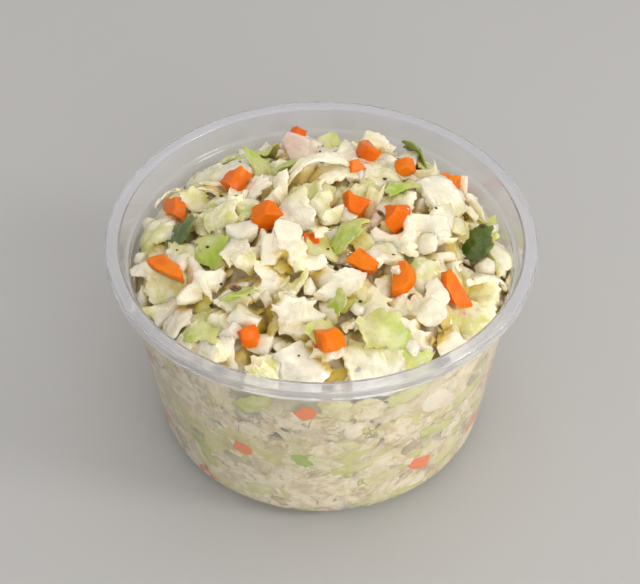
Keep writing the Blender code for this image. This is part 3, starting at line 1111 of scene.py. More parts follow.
def build_pieces(name, copies, material, dice, tone_range=(0.0, 0.3), tone_along=0.15):
    """One joined mesh of many copies, with their colour tone, how much painted shade each point gets, the edge
    mask for the painted edge colour and their grain stored on it.
    """
    counts = np.cumsum([0] + [len(copy["points"]) for copy in copies])
    corner_counts = np.cumsum([0] + [len(copy["shape"].corners) for copy in copies])
    points = np.vstack([copy["points"] for copy in copies])
    corners = np.concatenate([copy["shape"].corners + base for copy, base in zip(copies, counts)])
    starts = np.concatenate([copy["shape"].starts + base for copy, base in zip(copies, corner_counts)])
    tones, grains = [], []
    for copy in copies:
        tone = copy["tone"] if copy["tone"] is not None else dice.uniform(*tone_range)
        tones.append(np.clip(tone + tone_along * copy["shape"].along, 0.0, 1.0))
        grains.append(copy["shape"].grain + np.array((dice.uniform(0.0, 0.3), dice.uniform(0.0, 0.3))))
    mesh = bpy.data.meshes.new(name)
    mesh.vertices.add(len(points))
    mesh.vertices.foreach_set("co", points.ravel())
    mesh.loops.add(len(corners))
    mesh.loops.foreach_set("vertex_index", corners.astype(np.int32))
    mesh.polygons.add(len(starts))
    mesh.polygons.foreach_set("loop_start", starts.astype(np.int32))
    mesh.update(calc_edges=True)
    mesh.validate()
    mesh.polygons.foreach_set("use_smooth", np.ones(len(mesh.polygons), dtype=bool))
    mesh.set_sharp_from_angle(angle=math.radians(48.0))
    for label, values in (
        ("tone", np.concatenate(tones)),
        ("painted_shade", np.concatenate([copy["painted_shade"] for copy in copies])),
        ("edge", np.concatenate([copy["shape"].edge for copy in copies])),
    ):
        mesh.attributes.new(label, "FLOAT", "POINT").data.foreach_set("value", values.astype(np.float32))
    grain = mesh.uv_layers.new(name="grain")
    grain.data.foreach_set("uv", np.vstack(grains).astype(np.float32).ravel())
    mesh.update()
    obj = bpy.data.objects.new(name, mesh)
    bpy.context.scene.collection.objects.link(obj)
    register_piece(obj, "coleslaw", material)
    return obj


def copies_of(scene, group, *kinds):
    return [piece for piece in laid_salad(scene)[group] if piece["kind"] in kinds]


# ---- Core ---------------------------------------------------------------------------------------
class COLESLAW_OT_core(bpy.types.Operator):
    """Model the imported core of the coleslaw, which reaches just into the cup's wall"""

    bl_idname = "coleslaw.core"
    bl_label = "Core"

    def execute(self, context):
        cup, heap = context.scene.coleslaw_cup, context.scene.coleslaw_heap
        wall = WallLine(cup)
        pile = laid_salad(context.scene)["pile"]
        inset = cup.wall / 2 - heap.core_reach
        contact = wall.along_at_height(heap.contact_height)
        contact_radius = float(wall.radius_at_height(heap.contact_height)) - inset
        top_angle = math.radians(84.0)
        clear_selection()
        bpy.ops.mesh.primitive_ico_sphere_add(subdivisions=7, radius=1.0)
        core = context.active_object
        core.name = core.data.name = "slaw_core"
        painted_shade = []
        for vertex in core.data.vertices:
            direction = vertex.co.normalized()
            angle = math.acos(max(-1.0, min(1.0, direction.z)))
            turn = math.atan2(direction.x, direction.y)
            ragged = noise.noise(Vector((math.sin(turn) * 5.0, math.cos(turn) * 5.0, 2.0)))
            edge_drop = 0.0022 + 0.0022 * ragged
            if angle <= top_angle:
                share = angle / top_angle
                radius = contact_radius * share
                x, y = radius * math.sin(turn), radius * math.cos(turn)
                near_edge = float(smoothstep(0.86, 1.0, share))
                lumps = 0.0013 * noise.noise(Vector((x / 0.0030, y / 0.0030, 1.0)))
                lumps += 0.0007 * noise.noise(Vector((x / 0.0014, y / 0.0014, 5.0)))
                bed = pile.smooth_height(x, y) - heap.core_depth + lumps
                rim_height = heap.contact_height - edge_drop
                height = bed * (1.0 - near_edge) + rim_height * near_edge
                # Painted shade on the core's top, which lies under the pieces; less towards its edge
                painted_shade.append(0.62 - 0.30 * near_edge)
            else:
                share = (angle - top_angle) / (math.pi - top_angle)
                along = (contact - edge_drop) * (1.0 - share)
                radius, height, out_r, out_z = (float(value) for value in wall.at(along))
                x, y = radius * math.sin(turn), radius * math.cos(turn)
                cells = Vector((x / 0.0052, y / 0.0052, height / 0.0052))
                pattern = noise.voronoi(cells + 0.35 * noise.noise_vector(cells * 0.9))[0]
                seam = 1.0 - min((pattern[1] - pattern[0]) / 0.19, 1.0)
                open_seam = float(
                    smoothstep(-0.02, 0.28, noise.noise(cells * 0.55 + Vector((7.0, 3.0, 1.0))))
                )
                pit = seam * open_seam
                depth = inset + heap.pit_depth * pit
                radius, height = radius - out_r * depth, height - out_z * depth
                x, y = radius * math.sin(turn), radius * math.cos(turn)
                # Painted shade, strongest in the pits against the wall
                painted_shade.append(0.10 + 0.85 * pit)
            vertex.co = (x, y, height)
        mesh = core.data
        mesh.attributes.new("painted_shade", "FLOAT", "POINT").data.foreach_set("value", painted_shade)
        pick(core)
        bpy.ops.object.shade_smooth()
        register_piece(core, "coleslaw", core_material(context.scene))
        return {"FINISHED"}


class COLESLAW_OT_cabbage(bpy.types.Operator):
    """Build the loose chopped cabbage on the heap: rib chunks, flakes, shreds and crumbs"""

    bl_idname = "coleslaw.cabbage"
    bl_label = "Loose Cabbage"

    def execute(self, context):
        scene = context.scene
        dice = random.Random(scene.coleslaw_heap.seed + 7)
        material, rib = cabbage_material(scene), rib_material(scene)
        build_pieces(
            "cabbage_chunks", copies_of(scene, "pieces", "chunk", "crumb"), rib, dice, (0.0, 0.26), 0.14
        )
        build_pieces("cabbage_clumps", copies_of(scene, "pieces", "clump"), rib, dice, (0.0, 0.34), 0.34)
        build_pieces(
            "cabbage_flakes", copies_of(scene, "pieces", "flake"), material, dice, (0.04, 0.54), 0.44
        )
        build_pieces(
            "cabbage_shreds", copies_of(scene, "pieces", "shred", "stack"), material, dice, (0.04, 0.50), 0.40
        )
        return {"FINISHED"}


class COLESLAW_OT_leaves(bpy.types.Operator):
    """Build the loose green leaf on the heap, pale to dark"""

    bl_idname = "coleslaw.leaves"
    bl_label = "Green Leaf"

    def execute(self, context):
        scene = context.scene
        dice = random.Random(scene.coleslaw_heap.seed + 8)
        material = leaf_material(scene)
        build_pieces(
            "green_leaf", copies_of(scene, "pieces", "leaf", "frill"), material, dice, (0.40, 0.72), 0.35
        )
        build_pieces(
            "dark_leaf", copies_of(scene, "pieces", "dark_leaf"), dark_leaf_material(scene), dice, (0.5, 0.9),
            0.2
        )
        return {"FINISHED"}


class COLESLAW_OT_carrot(bpy.types.Operator):
    """Build the chopped carrot on the heap and the pinkish piece among it"""

    bl_idname = "coleslaw.carrot"
    bl_label = "Carrot"

    def execute(self, context):
        scene = context.scene
        dice = random.Random(scene.coleslaw_heap.seed + 9)
        build_pieces(
            "carrot_dice", copies_of(scene, "pieces", "carrot"), carrot_material(scene), dice, (0.1, 0.8), 0.2
        )
        build_pieces(
            "blush_piece", copies_of(scene, "pieces", "blush"), blush_material(scene), dice, (0.0, 0.3), 0.3
        )
        return {"FINISHED"}


class COLESLAW_OT_wall_pieces(bpy.types.Operator):
    """Build the pieces pressed on the inside of the cup's wall"""

    bl_idname = "coleslaw.wall_pieces"
    bl_label = "Pieces on the Wall"

    def execute(self, context):
        scene = context.scene
        dice = random.Random(scene.coleslaw_heap.seed + 10)
        build_pieces(
            "wall_cabbage", copies_of(scene, "wall", "flat_flake", "chunk", "clump", "flat_shred", "crumb"),
            wall_material(scene), dice,
            (0.0, 0.14), 0.14,
        )
        build_pieces(
            "wall_leaf", copies_of(scene, "wall", "flat_leaf"), wall_leaf_material(scene), dice, (0.45, 0.8),
            0.3
        )
        build_pieces(
            "wall_carrot", copies_of(scene, "wall", "carrot"), wall_carrot_material(scene), dice, (0.1, 0.7),
            0.1
        )
        build_pieces(
            "wall_blush", copies_of(scene, "wall", "blush"), blush_material(scene, "pressed_blush", 0.0),
            dice, (0.0, 0.3), 0.3
        )
        build_pieces(
            "wall_dark_leaf", copies_of(scene, "wall", "flat_dark"), dark_leaf_material(scene), dice,
            (0.3, 0.7), 0.2
        )
        return {"FINISHED"}


PEPPER_SPECKS = 18


class COLESLAW_OT_seasoning(bpy.types.Operator):
    """Build the specks of ground pepper and the round seed lying on the heap"""

    bl_idname = "coleslaw.seasoning"
    bl_label = "Pepper and Seed"

    def execute(self, context):
        scene = context.scene
        pile = laid_salad(scene)["pile"]
        dice = random.Random(scene.coleslaw_heap.seed + 12)
        copies = []
        for share, clock in scattered(dice, PEPPER_SPECKS, 0.15, 0.88, 0.16):
            width = dice.uniform(0.4, 1.0)
            speck = self.model_speck(dice, width * MM)
            x, y = spot(share, clock, pile.contact_radius)
            level = float(pile.level.flat[pile.index(np.array([[x, y, 0.0]]))][0])
            points = speck.points + np.array((x, y, level + width * MM * 0.15))
            copies.append({"kind": "pepper", "shape": speck, "points": points, "tone": dice.random(),
                           "painted_shade": np.zeros(len(points))})
        build_pieces("pepper_specks", copies, pepper_material(scene, "ground_pepper"), dice)
        seed = self.model_speck(dice, 2.0 * MM, rough=0.00008, levels=2)
        x, y = spot(*scattered(dice, 1, 0.5, 0.88, 0.0)[0], pile.contact_radius)
        level = float(pile.level.flat[pile.index(np.array([[x, y, 0.0]]))][0])
        points = seed.points * np.array((1.0, 1.0, 0.8)) + np.array((x, y, level + 0.0004))
        build_pieces(
            "brown_seed",
            [{"kind": "seed", "shape": seed, "points": points, "tone": 0.9, "painted_shade": np.zeros(len(points))}],
            pepper_material(scene, "seed_husk"), dice,
        )
        return {"FINISHED"}

    def model_speck(self, dice, width, rough=0.00018, levels=2):
        clear_selection()
        bpy.ops.mesh.primitive_ico_sphere_add(subdivisions=levels, radius=width / 2)
        speck = bpy.context.active_object
        shift = dice.uniform(0.0, 100.0)
        stretch = (dice.uniform(0.8, 1.5), dice.uniform(0.6, 1.0), dice.uniform(0.5, 0.8))
        for vertex in speck.data.vertices:
            wobble = noise.noise_vector(vertex.co / 0.0005 + Vector((shift, 0.0, 0.0))) * rough
            vertex.co = (vertex.co + wobble) * Vector(stretch)
        return keep_shape(speck, width)


# ---- Materials ----------------------------------------------------------------------------------
class Wiring:
    """Short hands for building a node tree."""

    def __init__(self, tree):
        self.tree = tree

    def node(self, kind, **values):
        made = self.tree.nodes.new(kind)
        for name, value in values.items():
            setattr(made, name, value)
        return made

    def feed(self, socket, value):
        """Links an output to an input, or sets the input to a plain value."""
        if isinstance(value, bpy.types.NodeSocket):
            self.tree.links.new(value, socket)
        elif isinstance(value, (tuple, list)) and len(value) == 3 and len(socket.default_value) == 4:
            socket.default_value = (*value, 1.0)
        else:
            socket.default_value = value

    def math(self, operation, *values, clamp=False):
        made = self.node("ShaderNodeMath", operation=operation, use_clamp=clamp)
        for socket, value in zip(made.inputs, values):
            self.feed(socket, value)
        return made.outputs[0]

    def mix(self, factor, first, second, blend="MIX"):
        made = self.node("ShaderNodeMix", data_type="RGBA", blend_type=blend)
        self.feed(made.inputs[0], factor)
        self.feed(made.inputs[6], first)
        self.feed(made.inputs[7], second)
        return made.outputs[2]

    def spread(self, value, low, high, to_low=0.0, to_high=1.0):
        """Maps a range on another one, held at its ends."""
        made = self.node("ShaderNodeMapRange", interpolation_type="SMOOTHSTEP")
        for socket, number in zip(made.inputs, (value, low, high, to_low, to_high)):
            self.feed(socket, number)
        return made.outputs[0]

    def noise(self, vector, scale, detail=3.0, roughness=0.55, distortion=0.0):
        made = self.node("ShaderNodeTexNoise")
        self.feed(made.inputs["Vector"], vector)
        self.feed(made.inputs["Scale"], scale)
        self.feed(made.inputs["Detail"], detail)
        self.feed(made.inputs["Roughness"], roughness)
        self.feed(made.inputs["Distortion"], distortion)
        return made.outputs["Fac"]

    def attribute(self, name):
        return self.node("ShaderNodeAttribute", attribute_name=name).outputs["Fac"]


def new_group(name, inputs, outputs):
    """An empty shader node group with its sockets; returns it with its wiring, inputs and outputs."""
    group = bpy.data.node_groups.new(name, "ShaderNodeTree")
    for label, kind, default in inputs:
        socket = group.interface.new_socket(label, in_out="INPUT", socket_type=kind)
        socket.default_value = (*default, 1.0) if kind == "NodeSocketColor" else default
    for label, kind in outputs:
        group.interface.new_socket(label, in_out="OUTPUT", socket_type=kind)
    wiring = Wiring(group)
    source = wiring.node("NodeGroupInput")
    sink = wiring.node("NodeGroupOutput")
    return group, wiring, source.outputs, sink.inputs


def dressing_group():
    """Creamy dressing over wet cut pieces: film colour in patches, gloss and the film's height."""
    name = "dressing_film"
    if name in bpy.data.node_groups:
        return bpy.data.node_groups[name]
    group, w, source, sink = new_group(
        name,
        (
            ("Color", "NodeSocketColor", (0.8, 0.8, 0.8)),
            ("Film Color", "NodeSocketColor", (0.9, 0.9, 0.9)),
            ("Cover", "NodeSocketFloat", 0.5),
            ("Dry Roughness", "NodeSocketFloat", 0.45),
            ("Wet Roughness", "NodeSocketFloat", 0.22),
        ),
        (("Color", "NodeSocketColor"), ("Roughness", "NodeSocketFloat"), ("Height", "NodeSocketFloat")),
    )
    place = w.node("ShaderNodeTexCoord").outputs["Object"]
    patches = w.noise(place, 210.0, 3.0, 0.6, 0.6)
    blots = w.noise(place, 620.0, 2.0, 0.5)
    film = w.spread(w.math("MULTIPLY_ADD", blots, 0.35, patches), 0.58, 0.80)
    film = w.math("MULTIPLY", film, source["Cover"], clamp=True)
    fine = w.noise(place, 1500.0, 2.0, 0.6)
    w.feed(sink["Color"], w.mix(film, source["Color"], source["Film Color"]))
    roughness = w.node("ShaderNodeMix", data_type="FLOAT")
    w.feed(roughness.inputs[0], w.spread(w.math("MULTIPLY_ADD", fine, 0.5, film), 0.1, 1.0))
    w.feed(roughness.inputs[2], source["Dry Roughness"])
    w.feed(roughness.inputs[3], source["Wet Roughness"])
    w.feed(sink["Roughness"], roughness.outputs[0])
    w.feed(sink["Height"], w.math("ADD", w.math("MULTIPLY", film, 0.5), w.math("MULTIPLY", blots, 0.5)))
    return group


def fibre_group():
    """Fine fibres and veins that run along a piece, from its own grain map."""
    name = "cut_fibres"
    if name in bpy.data.node_groups:
        return bpy.data.node_groups[name]
    group, w, source, sink = new_group(
        name,
        (("Stretch", "NodeSocketFloat", 6.0), ("Strength", "NodeSocketFloat", 0.5)),
        (("Light", "NodeSocketFloat"), ("Height", "NodeSocketFloat")),
    )
    grain = w.node("ShaderNodeUVMap", uv_map="grain").outputs["UV"]
    parts = w.node("ShaderNodeSeparateXYZ")
    w.feed(parts.inputs[0], grain)
    joined = w.node("ShaderNodeCombineXYZ")
    w.feed(joined.inputs[0], parts.outputs[0])
    w.feed(joined.inputs[1], w.math("MULTIPLY", parts.outputs[1], source["Stretch"]))
    lines = w.noise(joined.outputs[0], 190.0, 3.0, 0.6, 0.4)
    broad = w.noise(joined.outputs[0], 60.0, 2.0, 0.5, 0.6)
    light = w.math("ADD", w.math("MULTIPLY", lines, 0.6), w.math("MULTIPLY", broad, 0.4))
    light = w.math("MULTIPLY", w.math("SUBTRACT", light, 0.5), source["Strength"])
    w.feed(sink["Light"], light)
    w.feed(sink["Height"], lines)
    return group


def shade_group():
    """Painted shade between the pieces, and a painted edge colour on the cut edges (a painted highlight, partly
    the creamy film, on the loose pieces; painted shade on the pieces pressed on the wall), from what is stored
    on each piece.
    """
    name = "depth_and_edge"
    if name in bpy.data.node_groups:
        return bpy.data.node_groups[name]
    group, w, source, sink = new_group(
        name,
        (
            ("Color", "NodeSocketColor", (0.8, 0.8, 0.8)),
            ("Deep Color", "NodeSocketColor", (0.4, 0.3, 0.1)),
            ("Edge Color", "NodeSocketColor", (0.9, 0.9, 0.9)),
            ("Deep", "NodeSocketFloat", 0.8),
            ("Edge", "NodeSocketFloat", 0.3),
        ),
        (("Color", "NodeSocketColor"), ("Depth", "NodeSocketFloat")),
    )
    place = w.node("ShaderNodeTexCoord").outputs["Object"]
    # Painted shade: the stored depth under the heap, made uneven, mixes in the shade colour
    painted_shade = w.attribute("painted_shade")
    uneven = w.math("MULTIPLY_ADD", w.noise(place, 260.0, 3.0, 0.6), 0.5, painted_shade)
    depth = w.math("MULTIPLY", w.spread(uneven, 0.34, 1.18), source["Deep"], clamp=True)
    # Painted edge colour on sharp outward edges, in patches: a painted highlight, partly the creamy film, on
    # the loose pieces, and painted shade on the pieces pressed on the wall
    edge = w.math("MULTIPLY", w.attribute("edge"), w.spread(w.noise(place, 420.0, 2.0), 0.35, 0.62))
    edged = w.mix(w.math("MULTIPLY", edge, source["Edge"], clamp=True), source["Color"], source["Edge Color"])
    w.feed(sink["Color"], w.mix(depth, edged, source["Deep Color"]))
    w.feed(sink["Depth"], depth)
    return group


def new_material(name):
    material = bpy.data.materials.new(name)
    material.use_nodes = True
    material.node_tree.nodes.clear()
    wiring = Wiring(material.node_tree)
    shader = wiring.node("ShaderNodeBsdfPrincipled")
    output = wiring.node("ShaderNodeOutputMaterial")
    wiring.feed(output.inputs["Surface"], shader.outputs[0])
    return material, wiring, shader, output


def place_group(wiring, group, **values):
    """A group node with its inputs fed; underscores in the names stand for spaces."""
    made = wiring.node("ShaderNodeGroup", node_tree=group)
    for name, value in values.items():
        wiring.feed(made.inputs[name.replace("_", " ")], value)
    return made.outputs


def vegetable_material(name, scene, tint, film_cover, painted_shade_colour, painted_edge_colour, **look):
    """A wet cut vegetable: its tint by tone, fibres, painted shade in its hollows, a painted colour on its
    edges, dressing film, bump and a little light inside.
    """
    material, w, shader, _ = new_material(name)
    colours = scene.coleslaw_colours
    colour = tint(w)
    fibres = place_group(w, fibre_group(), Stretch=look.get("stretch", 5.0), Strength=look.get("fibre", 0.5))
    bright = w.math("ADD", fibres["Light"], 1.0)
    grey = w.node("ShaderNodeCombineColor")
    for socket in grey.inputs[:3]:
        w.feed(socket, bright)
    colour = w.mix(1.0, colour, grey.outputs[0], "MULTIPLY")
    if look.get("soaked"):
        place = w.node("ShaderNodeTexCoord").outputs["Object"]
        patches = w.spread(w.noise(place, 260.0, 4.0, 0.62, 0.8), 0.42, 0.66, 0.0, look["soaked"])
        colour = w.mix(patches, colour, tuple(colours.soaked))
    film = place_group(
        w, dressing_group(), Color=colour, Film_Color=tuple(colours.dressing), Cover=film_cover,
        Dry_Roughness=look.get("dry", 0.42), Wet_Roughness=look.get("wet", 0.2),
    )
    shaded = place_group(
        w, shade_group(), Color=film["Color"], Deep_Color=tuple(painted_shade_colour), Edge_Color=tuple(painted_edge_colour),
        Deep=look.get("deep", 0.85), Edge=look.get("edge", 0.5),
    )
    w.feed(shader.inputs["Base Color"], shaded["Color"])
    w.feed(shader.inputs["Roughness"], film["Roughness"])
    height = w.math("ADD", w.math("MULTIPLY", fibres["Height"], look.get("groove", 0.6)), film["Height"])
    bump = w.node("ShaderNodeBump")
    bump.inputs["Strength"].default_value = look.get("bump", 0.6)
    bump.inputs["Distance"].default_value = 0.0005
    w.feed(bump.inputs["Height"], height)
    w.feed(shader.inputs["Normal"], bump.outputs[0])
    shader.subsurface_method = "BURLEY"
    shader.inputs["IOR"].default_value = look.get("ior", 1.42)
    shader.inputs["Subsurface Weight"].default_value = look.get("inside", 0.3)
    shader.inputs["Subsurface Radius"].default_value = look.get("inside_colour", (1.0, 0.85, 0.5))
    shader.inputs["Subsurface Scale"].default_value = look.get("inside_depth", 0.0026)
    shader.inputs["Coat Weight"].default_value = look.get("coat", 0.5)
    shader.inputs["Coat Roughness"].default_value = 0.09
    return material


def kept_material(name, make):
    """A material made once and found again by its name."""
    return bpy.data.materials[name] if name in bpy.data.materials else make()


INSIDE_GLOW = (1.0, 0.97, 0.74)  # light that has passed through cabbage


def cabbage_tint(colours, low=0.10, high=0.85, white=None):
    """Tint that runs from white rib over pale leaf to green with the stored tone."""

    def tint(w):
        place = w.node("ShaderNodeTexCoord").outputs["Object"]
        tone = w.math(
            "MULTIPLY_ADD", w.math("SUBTRACT", w.noise(place, 150.0, 3.0, 0.6, 0.5), 0.5), 0.55,
            w.attribute("tone")
        )
        pale = w.mix(w.spread(tone, low, 0.50), tuple(white or colours.cabbage), tuple(colours.pale_leaf))
        return w.mix(w.spread(tone, 0.46, high), pale, tuple(colours.green_leaf))

    return tint


def cabbage_material(scene):
    colours = scene.coleslaw_colours
    return kept_material("chopped_cabbage", lambda: vegetable_material(
        "chopped_cabbage", scene, cabbage_tint(colours), 0.6, colours.painted_shade, colours.dressing,
        fibre=0.55, groove=1.3, edge=0.6, inside=1.0, inside_depth=0.0028, inside_colour=INSIDE_GLOW,
        wet=0.11, coat=1.0, soaked=0.2,
    ))


def rib_material(scene):
    colours = scene.coleslaw_colours
    return kept_material("chopped_rib", lambda: vegetable_material(
        "chopped_rib", scene, cabbage_tint(colours), 0.6, colours.painted_shade, colours.dressing,
        fibre=0.45, groove=1.0, edge=0.5, inside=1.0, inside_depth=0.0034, inside_colour=INSIDE_GLOW,
        wet=0.11, coat=1.0, soaked=0.14,
    ))


def wall_material(scene):
    colours = scene.coleslaw_colours
    # The darker edge colour here is painted shade on the edges of the pressed pieces
    return kept_material("pressed_cabbage", lambda: vegetable_material(
        "pressed_cabbage", scene, cabbage_tint(colours, white=colours.packed), 0.15, colours.painted_seam_shade, srgb(
            188, 148, 88
        ),
        fibre=0.6, edge=0.6, inside=0.0, deep=0.9, soaked=0.6,
    ))


def core_material(scene):
    """The core: the same cabbage, chopped finer, with its own cells of tone and painted shade in the open seams
    between them.
    """
    colours = scene.coleslaw_colours

    def tint(w):
        place = w.node("ShaderNodeTexCoord").outputs["Object"]
        warp = w.node("ShaderNodeTexNoise")
        w.feed(warp.inputs["Vector"], place)
        warp.inputs["Scale"].default_value = 160.0
        bent = w.node("ShaderNodeMix", data_type="VECTOR")
        bent.inputs[0].default_value = 0.012
        w.feed(bent.inputs[4], place)
        w.feed(bent.inputs[5], warp.outputs["Color"])
        cells = w.node("ShaderNodeTexVoronoi")
        w.feed(cells.inputs["Vector"], bent.outputs[1])
        cells.inputs["Scale"].default_value = 190.0
        shade = w.node("ShaderNodeSeparateColor")
        w.feed(shade.inputs[0], cells.outputs["Color"])
        tone = w.math("MULTIPLY", shade.outputs[0], 0.55)
        pale = w.mix(w.spread(tone, 0.05, 0.5), tuple(colours.packed), tuple(colours.pale_leaf))
        seams = w.node("ShaderNodeTexVoronoi", feature="DISTANCE_TO_EDGE")
        w.feed(seams.inputs["Vector"], bent.outputs[1])
        seams.inputs["Scale"].default_value = 190.0
        open_seams = w.spread(w.noise(place, 90.0, 2.0), 0.45, 0.62)
        # Painted shade in the seams between the cells, where the seams are open
        seam_shade = w.math("MULTIPLY", w.spread(seams.outputs["Distance"], 0.0, 0.10, 1.0, 0.0), open_seams)
        return w.mix(w.math("MULTIPLY", seam_shade, 0.7), pale, tuple(colours.painted_seam_shade))

    return kept_material("packed_core", lambda: vegetable_material(
        "packed_core", scene, tint, 0.15, colours.painted_seam_shade, colours.dressing, fibre=0.0, edge=0.0,
        groove=0.0,
        deep=0.9, inside=0.0, soaked=0.5,
    ))


def leaf_material(scene):
    colours = scene.coleslaw_colours
    return kept_material("green_leaf", lambda: vegetable_material(
        "green_leaf", scene, cabbage_tint(colours, 0.05, 0.92), 0.28, colours.painted_shade, colours.pale_leaf,
        fibre=0.6, edge=0.45, inside=0.3, inside_depth=0.0008, inside_colour=(0.9, 1.0, 0.7), wet=0.18,
    ))


def wall_leaf_material(scene):
    colours = scene.coleslaw_colours
    return kept_material("pressed_leaf", lambda: vegetable_material(
        "pressed_leaf", scene, cabbage_tint(colours, 0.05, 0.92), 0.35, colours.painted_seam_shade, colours.painted_seam_shade,
        fibre=0.5, edge=0.35, inside=0.0,
    ))


def dark_leaf_material(scene):
    colours = scene.coleslaw_colours

    def tint(w):
        return w.mix(
            w.spread(w.attribute("tone"), 0.2, 0.9), tuple(colours.green_leaf), tuple(colours.dark_leaf)
        )

    return kept_material("dark_leaf", lambda: vegetable_material(
        "dark_leaf", scene, tint, 0.06, colours.dark_leaf, colours.green_leaf, fibre=0.6, edge=0.3,
        inside=0.0,
        wet=0.15, dry=0.3,
    ))


def carrot_material(scene):
    colours = scene.coleslaw_colours

    def tint(w):
        place = w.node("ShaderNodeTexCoord").outputs["Object"]
        mottle = w.math(
            "MULTIPLY_ADD", w.math("SUBTRACT", w.noise(place, 300.0, 3.0), 0.5), 0.8, w.attribute("tone")
        )
        return w.mix(w.spread(mottle, 0.1, 1.0), tuple(colours.carrot), tuple(colours.carrot_skin))

    return kept_material("cut_carrot", lambda: vegetable_material(
        "cut_carrot", scene, tint, 0.0, colours.carrot_skin, srgb(255, 150, 40), fibre=0.45, edge=0.5,
        inside=0.6, coat=0.0,
        inside_depth=0.0012, inside_colour=(1.0, 0.5, 0.2), wet=0.16, dry=0.34, deep=0.5, ior=1.33,
    ))


def wall_carrot_material(scene):
    colours = scene.coleslaw_colours

    def tint(w):
        return w.mix(w.spread(w.attribute("tone"), 0.0, 1.0), srgb(255, 150, 44), tuple(colours.carrot))

    return kept_material("pressed_carrot", lambda: vegetable_material(
        "pressed_carrot", scene, tint, 0.0, colours.carrot_skin, colours.carrot, fibre=0.3, edge=0.3,
        inside=0.0,
        deep=0.3, coat=0.0,
    ))


def blush_material(scene, name="blush_rib", inside=0.4):
    colours = scene.coleslaw_colours

    def tint(w):
        return w.mix(w.spread(w.attribute("tone"), -0.1, 0.4), tuple(colours.blush), tuple(colours.cabbage))

    return kept_material(name, lambda: vegetable_material(
        name, scene, tint, 0.35, colours.carrot, colours.dressing, fibre=0.4, edge=0.5, inside=inside,
        inside_depth=0.0012, inside_colour=(1.0, 0.8, 0.75), deep=0.3,
    ))


def pepper_material(scene, name):
    """Dark husk with lighter specks."""
    colours = scene.coleslaw_colours

    def make():
        material, w, shader, _ = new_material(name)
        place = w.node("ShaderNodeTexCoord").outputs["Object"]
        spots = w.spread(w.noise(place, 1800.0, 3.0, 0.7), 0.40, 0.70)
        light = srgb(196, 138, 96) if name == "seed_husk" else srgb(120, 82, 48)
        w.feed(shader.inputs["Base Color"], w.mix(spots, tuple(colours.pepper), light))
        w.feed(shader.inputs["Roughness"], w.spread(spots, 0.0, 1.0, 0.32, 0.6))
        bump = w.node("ShaderNodeBump")
        bump.inputs["Strength"].default_value = 0.5
        bump.inputs["Distance"].default_value = 0.0001
        w.feed(bump.inputs["Height"], spots)
        w.feed(shader.inputs["Normal"], bump.outputs[0])
        return material

    return kept_material(name, make)


def plastic_material(scene):
    """Slightly milky see-through plastic; it lets light through to what it holds."""
    cup = scene.coleslaw_cup

    def make():
        material, w, shader, output = new_material("see_through_plastic")
        place = w.node("ShaderNodeTexCoord").outputs["Object"]
        height = w.node("ShaderNodeSeparateXYZ")
        w.feed(height.inputs[0], place)
        uneven = w.math("MULTIPLY_ADD", w.noise(place, 70.0, 2.0, 0.5), 0.002, height.outputs[2])
        share = w.spread(uneven, cup.step_low_height - 0.001, cup.height)
        # Tint from low on the wall to the rim; the rim's cooler tint is painted reflection
        tint = w.mix(share, tuple(cup.wall_tint), tuple(cup.plastic))
        w.feed(shader.inputs["Base Color"], tint)
        milky = w.spread(share, 0.0, 1.0, cup.wall_haze, cup.haze)
        mottled = w.spread(w.noise(place, 240.0, 2.0), 0.3, 0.7, 0.8, 1.2)
        w.feed(shader.inputs["Roughness"], w.math("MULTIPLY", milky, mottled))
        shader.inputs["IOR"].default_value = 1.49
        shader.inputs["Transmission Weight"].default_value = cup.clarity
        bump = w.node("ShaderNodeBump")
        bump.inputs["Strength"].default_value = 0.03
        bump.inputs["Distance"].default_value = 0.0005
        w.feed(bump.inputs["Height"], w.noise(place, 130.0, 1.0))
        w.feed(shader.inputs["Normal"], bump.outputs[0])
        clear = w.node("ShaderNodeBsdfTransparent")
        clear.inputs[0].default_value = (*cup.shade_tint, 1.0)
        either = w.node("ShaderNodeMixShader")
        w.feed(either.inputs[0], w.node("ShaderNodeLightPath").outputs["Is Shadow Ray"])
        w.feed(either.inputs[1], shader.outputs[0])
        w.feed(either.inputs[2], clear.outputs[0])
        w.feed(output.inputs["Surface"], either.outputs[0])
        return material

    return kept_material("see_through_plastic", make)


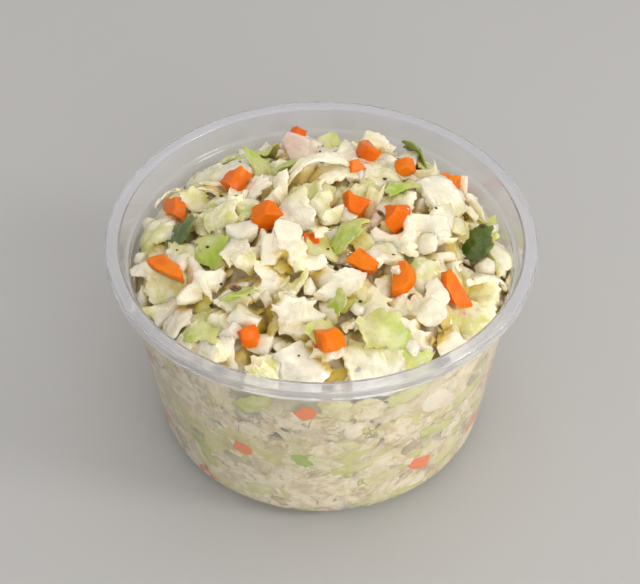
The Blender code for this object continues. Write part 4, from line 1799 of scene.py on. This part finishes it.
# ---- Stage --------------------------------------------------------------------------------------
class COLESLAW_OT_stage(bpy.types.Operator):
    """Set the pale floor, the soft studio lights and the camera"""

    bl_idname = "coleslaw.stage"
    bl_label = "Stage"

    def execute(self, context):
        scene = context.scene
        stage = scene.coleslaw_stage
        clear_selection()
        bpy.ops.mesh.primitive_plane_add(size=4.0)
        floor = context.active_object
        floor.name = floor.data.name = "floor"
        material, w, shader, _ = new_material("pale_floor")
        place = w.node("ShaderNodeTexCoord").outputs["Object"]
        colour = tuple(stage.floor)
        darker = tuple(0.97 * value for value in colour)
        w.feed(shader.inputs["Base Color"], w.mix(w.noise(place, 12.0, 2.0), colour, darker))
        shader.inputs["Roughness"].default_value = 0.7
        floor.data.materials.append(material)
        world = bpy.data.worlds.new("studio")
        world.use_nodes = True
        background = world.node_tree.nodes["Background"]
        background.inputs["Color"].default_value = (1.0, 0.985, 0.96, 1.0)
        background.inputs["Strength"].default_value = stage.sky
        scene.world = world
        middle = Vector((0.0, 0.0, CUP_HIGH.z / 2))
        self.add_light(
            "overhead", stage.overhead_power, 0.8, Vector((0.05, 0.20, 0.95)), middle, (1.0, 0.99, 0.98)
        )
        self.add_light("key", stage.key_power, 0.15, Vector((0.52, -0.20, 0.40)), middle, (1.0, 0.98, 0.95))
        self.add_light("fill", stage.fill_power, 0.5, Vector((0.24, -0.64, 0.26)), middle, (0.96, 0.98, 1.0))
        data = bpy.data.cameras.new("camera")
        data.lens = stage.lens
        data.sensor_width = 36.0
        data.clip_start = 0.01
        camera = bpy.data.objects.new("camera", data)
        scene.collection.objects.link(camera)
        back = Vector((0.0, -math.cos(stage.elevation), math.sin(stage.elevation)))
        camera.location = middle + back * stage.distance
        aim = middle + Vector((-0.0003, 0.0, stage.aim_rise))
        camera.rotation_euler = (aim - camera.location).to_track_quat("-Z", "Y").to_euler()
        scene.camera = camera
        scene.view_settings.view_transform = "Standard"
        return {"FINISHED"}

    def add_light(self, name, power, size, place, aim, colour):
        data = bpy.data.lights.new(name, "AREA")
        data.energy, data.size, data.color = power, size, colour
        light = bpy.data.objects.new(name, data)
        bpy.context.scene.collection.objects.link(light)
        light.location = place
        light.rotation_euler = (aim - place).to_track_quat("-Z", "Y").to_euler()


# ---- Panel and registration ---------------------------------------------------------------------
OPERATORS = (
    COLESLAW_OT_cup,
    COLESLAW_OT_core,
    COLESLAW_OT_cabbage,
    COLESLAW_OT_leaves,
    COLESLAW_OT_carrot,
    COLESLAW_OT_wall_pieces,
    COLESLAW_OT_seasoning,
    COLESLAW_OT_stage,
)


class COLESLAW_PT_panel(bpy.types.Panel):
    """Lists the pieces of the coleslaw cup"""

    bl_idname = "COLESLAW_PT_panel"
    bl_label = "Coleslaw Cup"
    bl_space_type = "VIEW_3D"
    bl_region_type = "UI"
    bl_category = "Coleslaw"

    def draw(self, context):
        for operator in OPERATORS:
            self.layout.operator(operator.bl_idname)
        for label in ("coleslaw_cup", "coleslaw_heap", "coleslaw_colours", "coleslaw_stage"):
            box = self.layout.box()
            group = getattr(context.scene, label)
            for name in type(group).__annotations__:
                box.prop(group, name)


CLASSES = (*SETTING_GROUPS, *OPERATORS, COLESLAW_PT_panel)


def register():
    for cls in CLASSES:
        bpy.utils.register_class(cls)
    bpy.types.Scene.coleslaw_cup = PointerProperty(type=CupSettings)
    bpy.types.Scene.coleslaw_heap = PointerProperty(type=HeapSettings)
    bpy.types.Scene.coleslaw_colours = PointerProperty(type=ColourSettings)
    bpy.types.Scene.coleslaw_stage = PointerProperty(type=StageSettings)


def unregister():
    for label in ("coleslaw_cup", "coleslaw_heap", "coleslaw_colours", "coleslaw_stage"):
        delattr(bpy.types.Scene, label)
    for cls in reversed(CLASSES):
        bpy.utils.unregister_class(cls)


def main():
    register()
    bpy.ops.coleslaw.cup()
    bpy.ops.coleslaw.core()
    bpy.ops.coleslaw.cabbage()
    bpy.ops.coleslaw.leaves()
    bpy.ops.coleslaw.carrot()
    bpy.ops.coleslaw.wall_pieces()
    bpy.ops.coleslaw.seasoning()
    bpy.ops.coleslaw.stage()


if __name__ == "__main__":
    main()
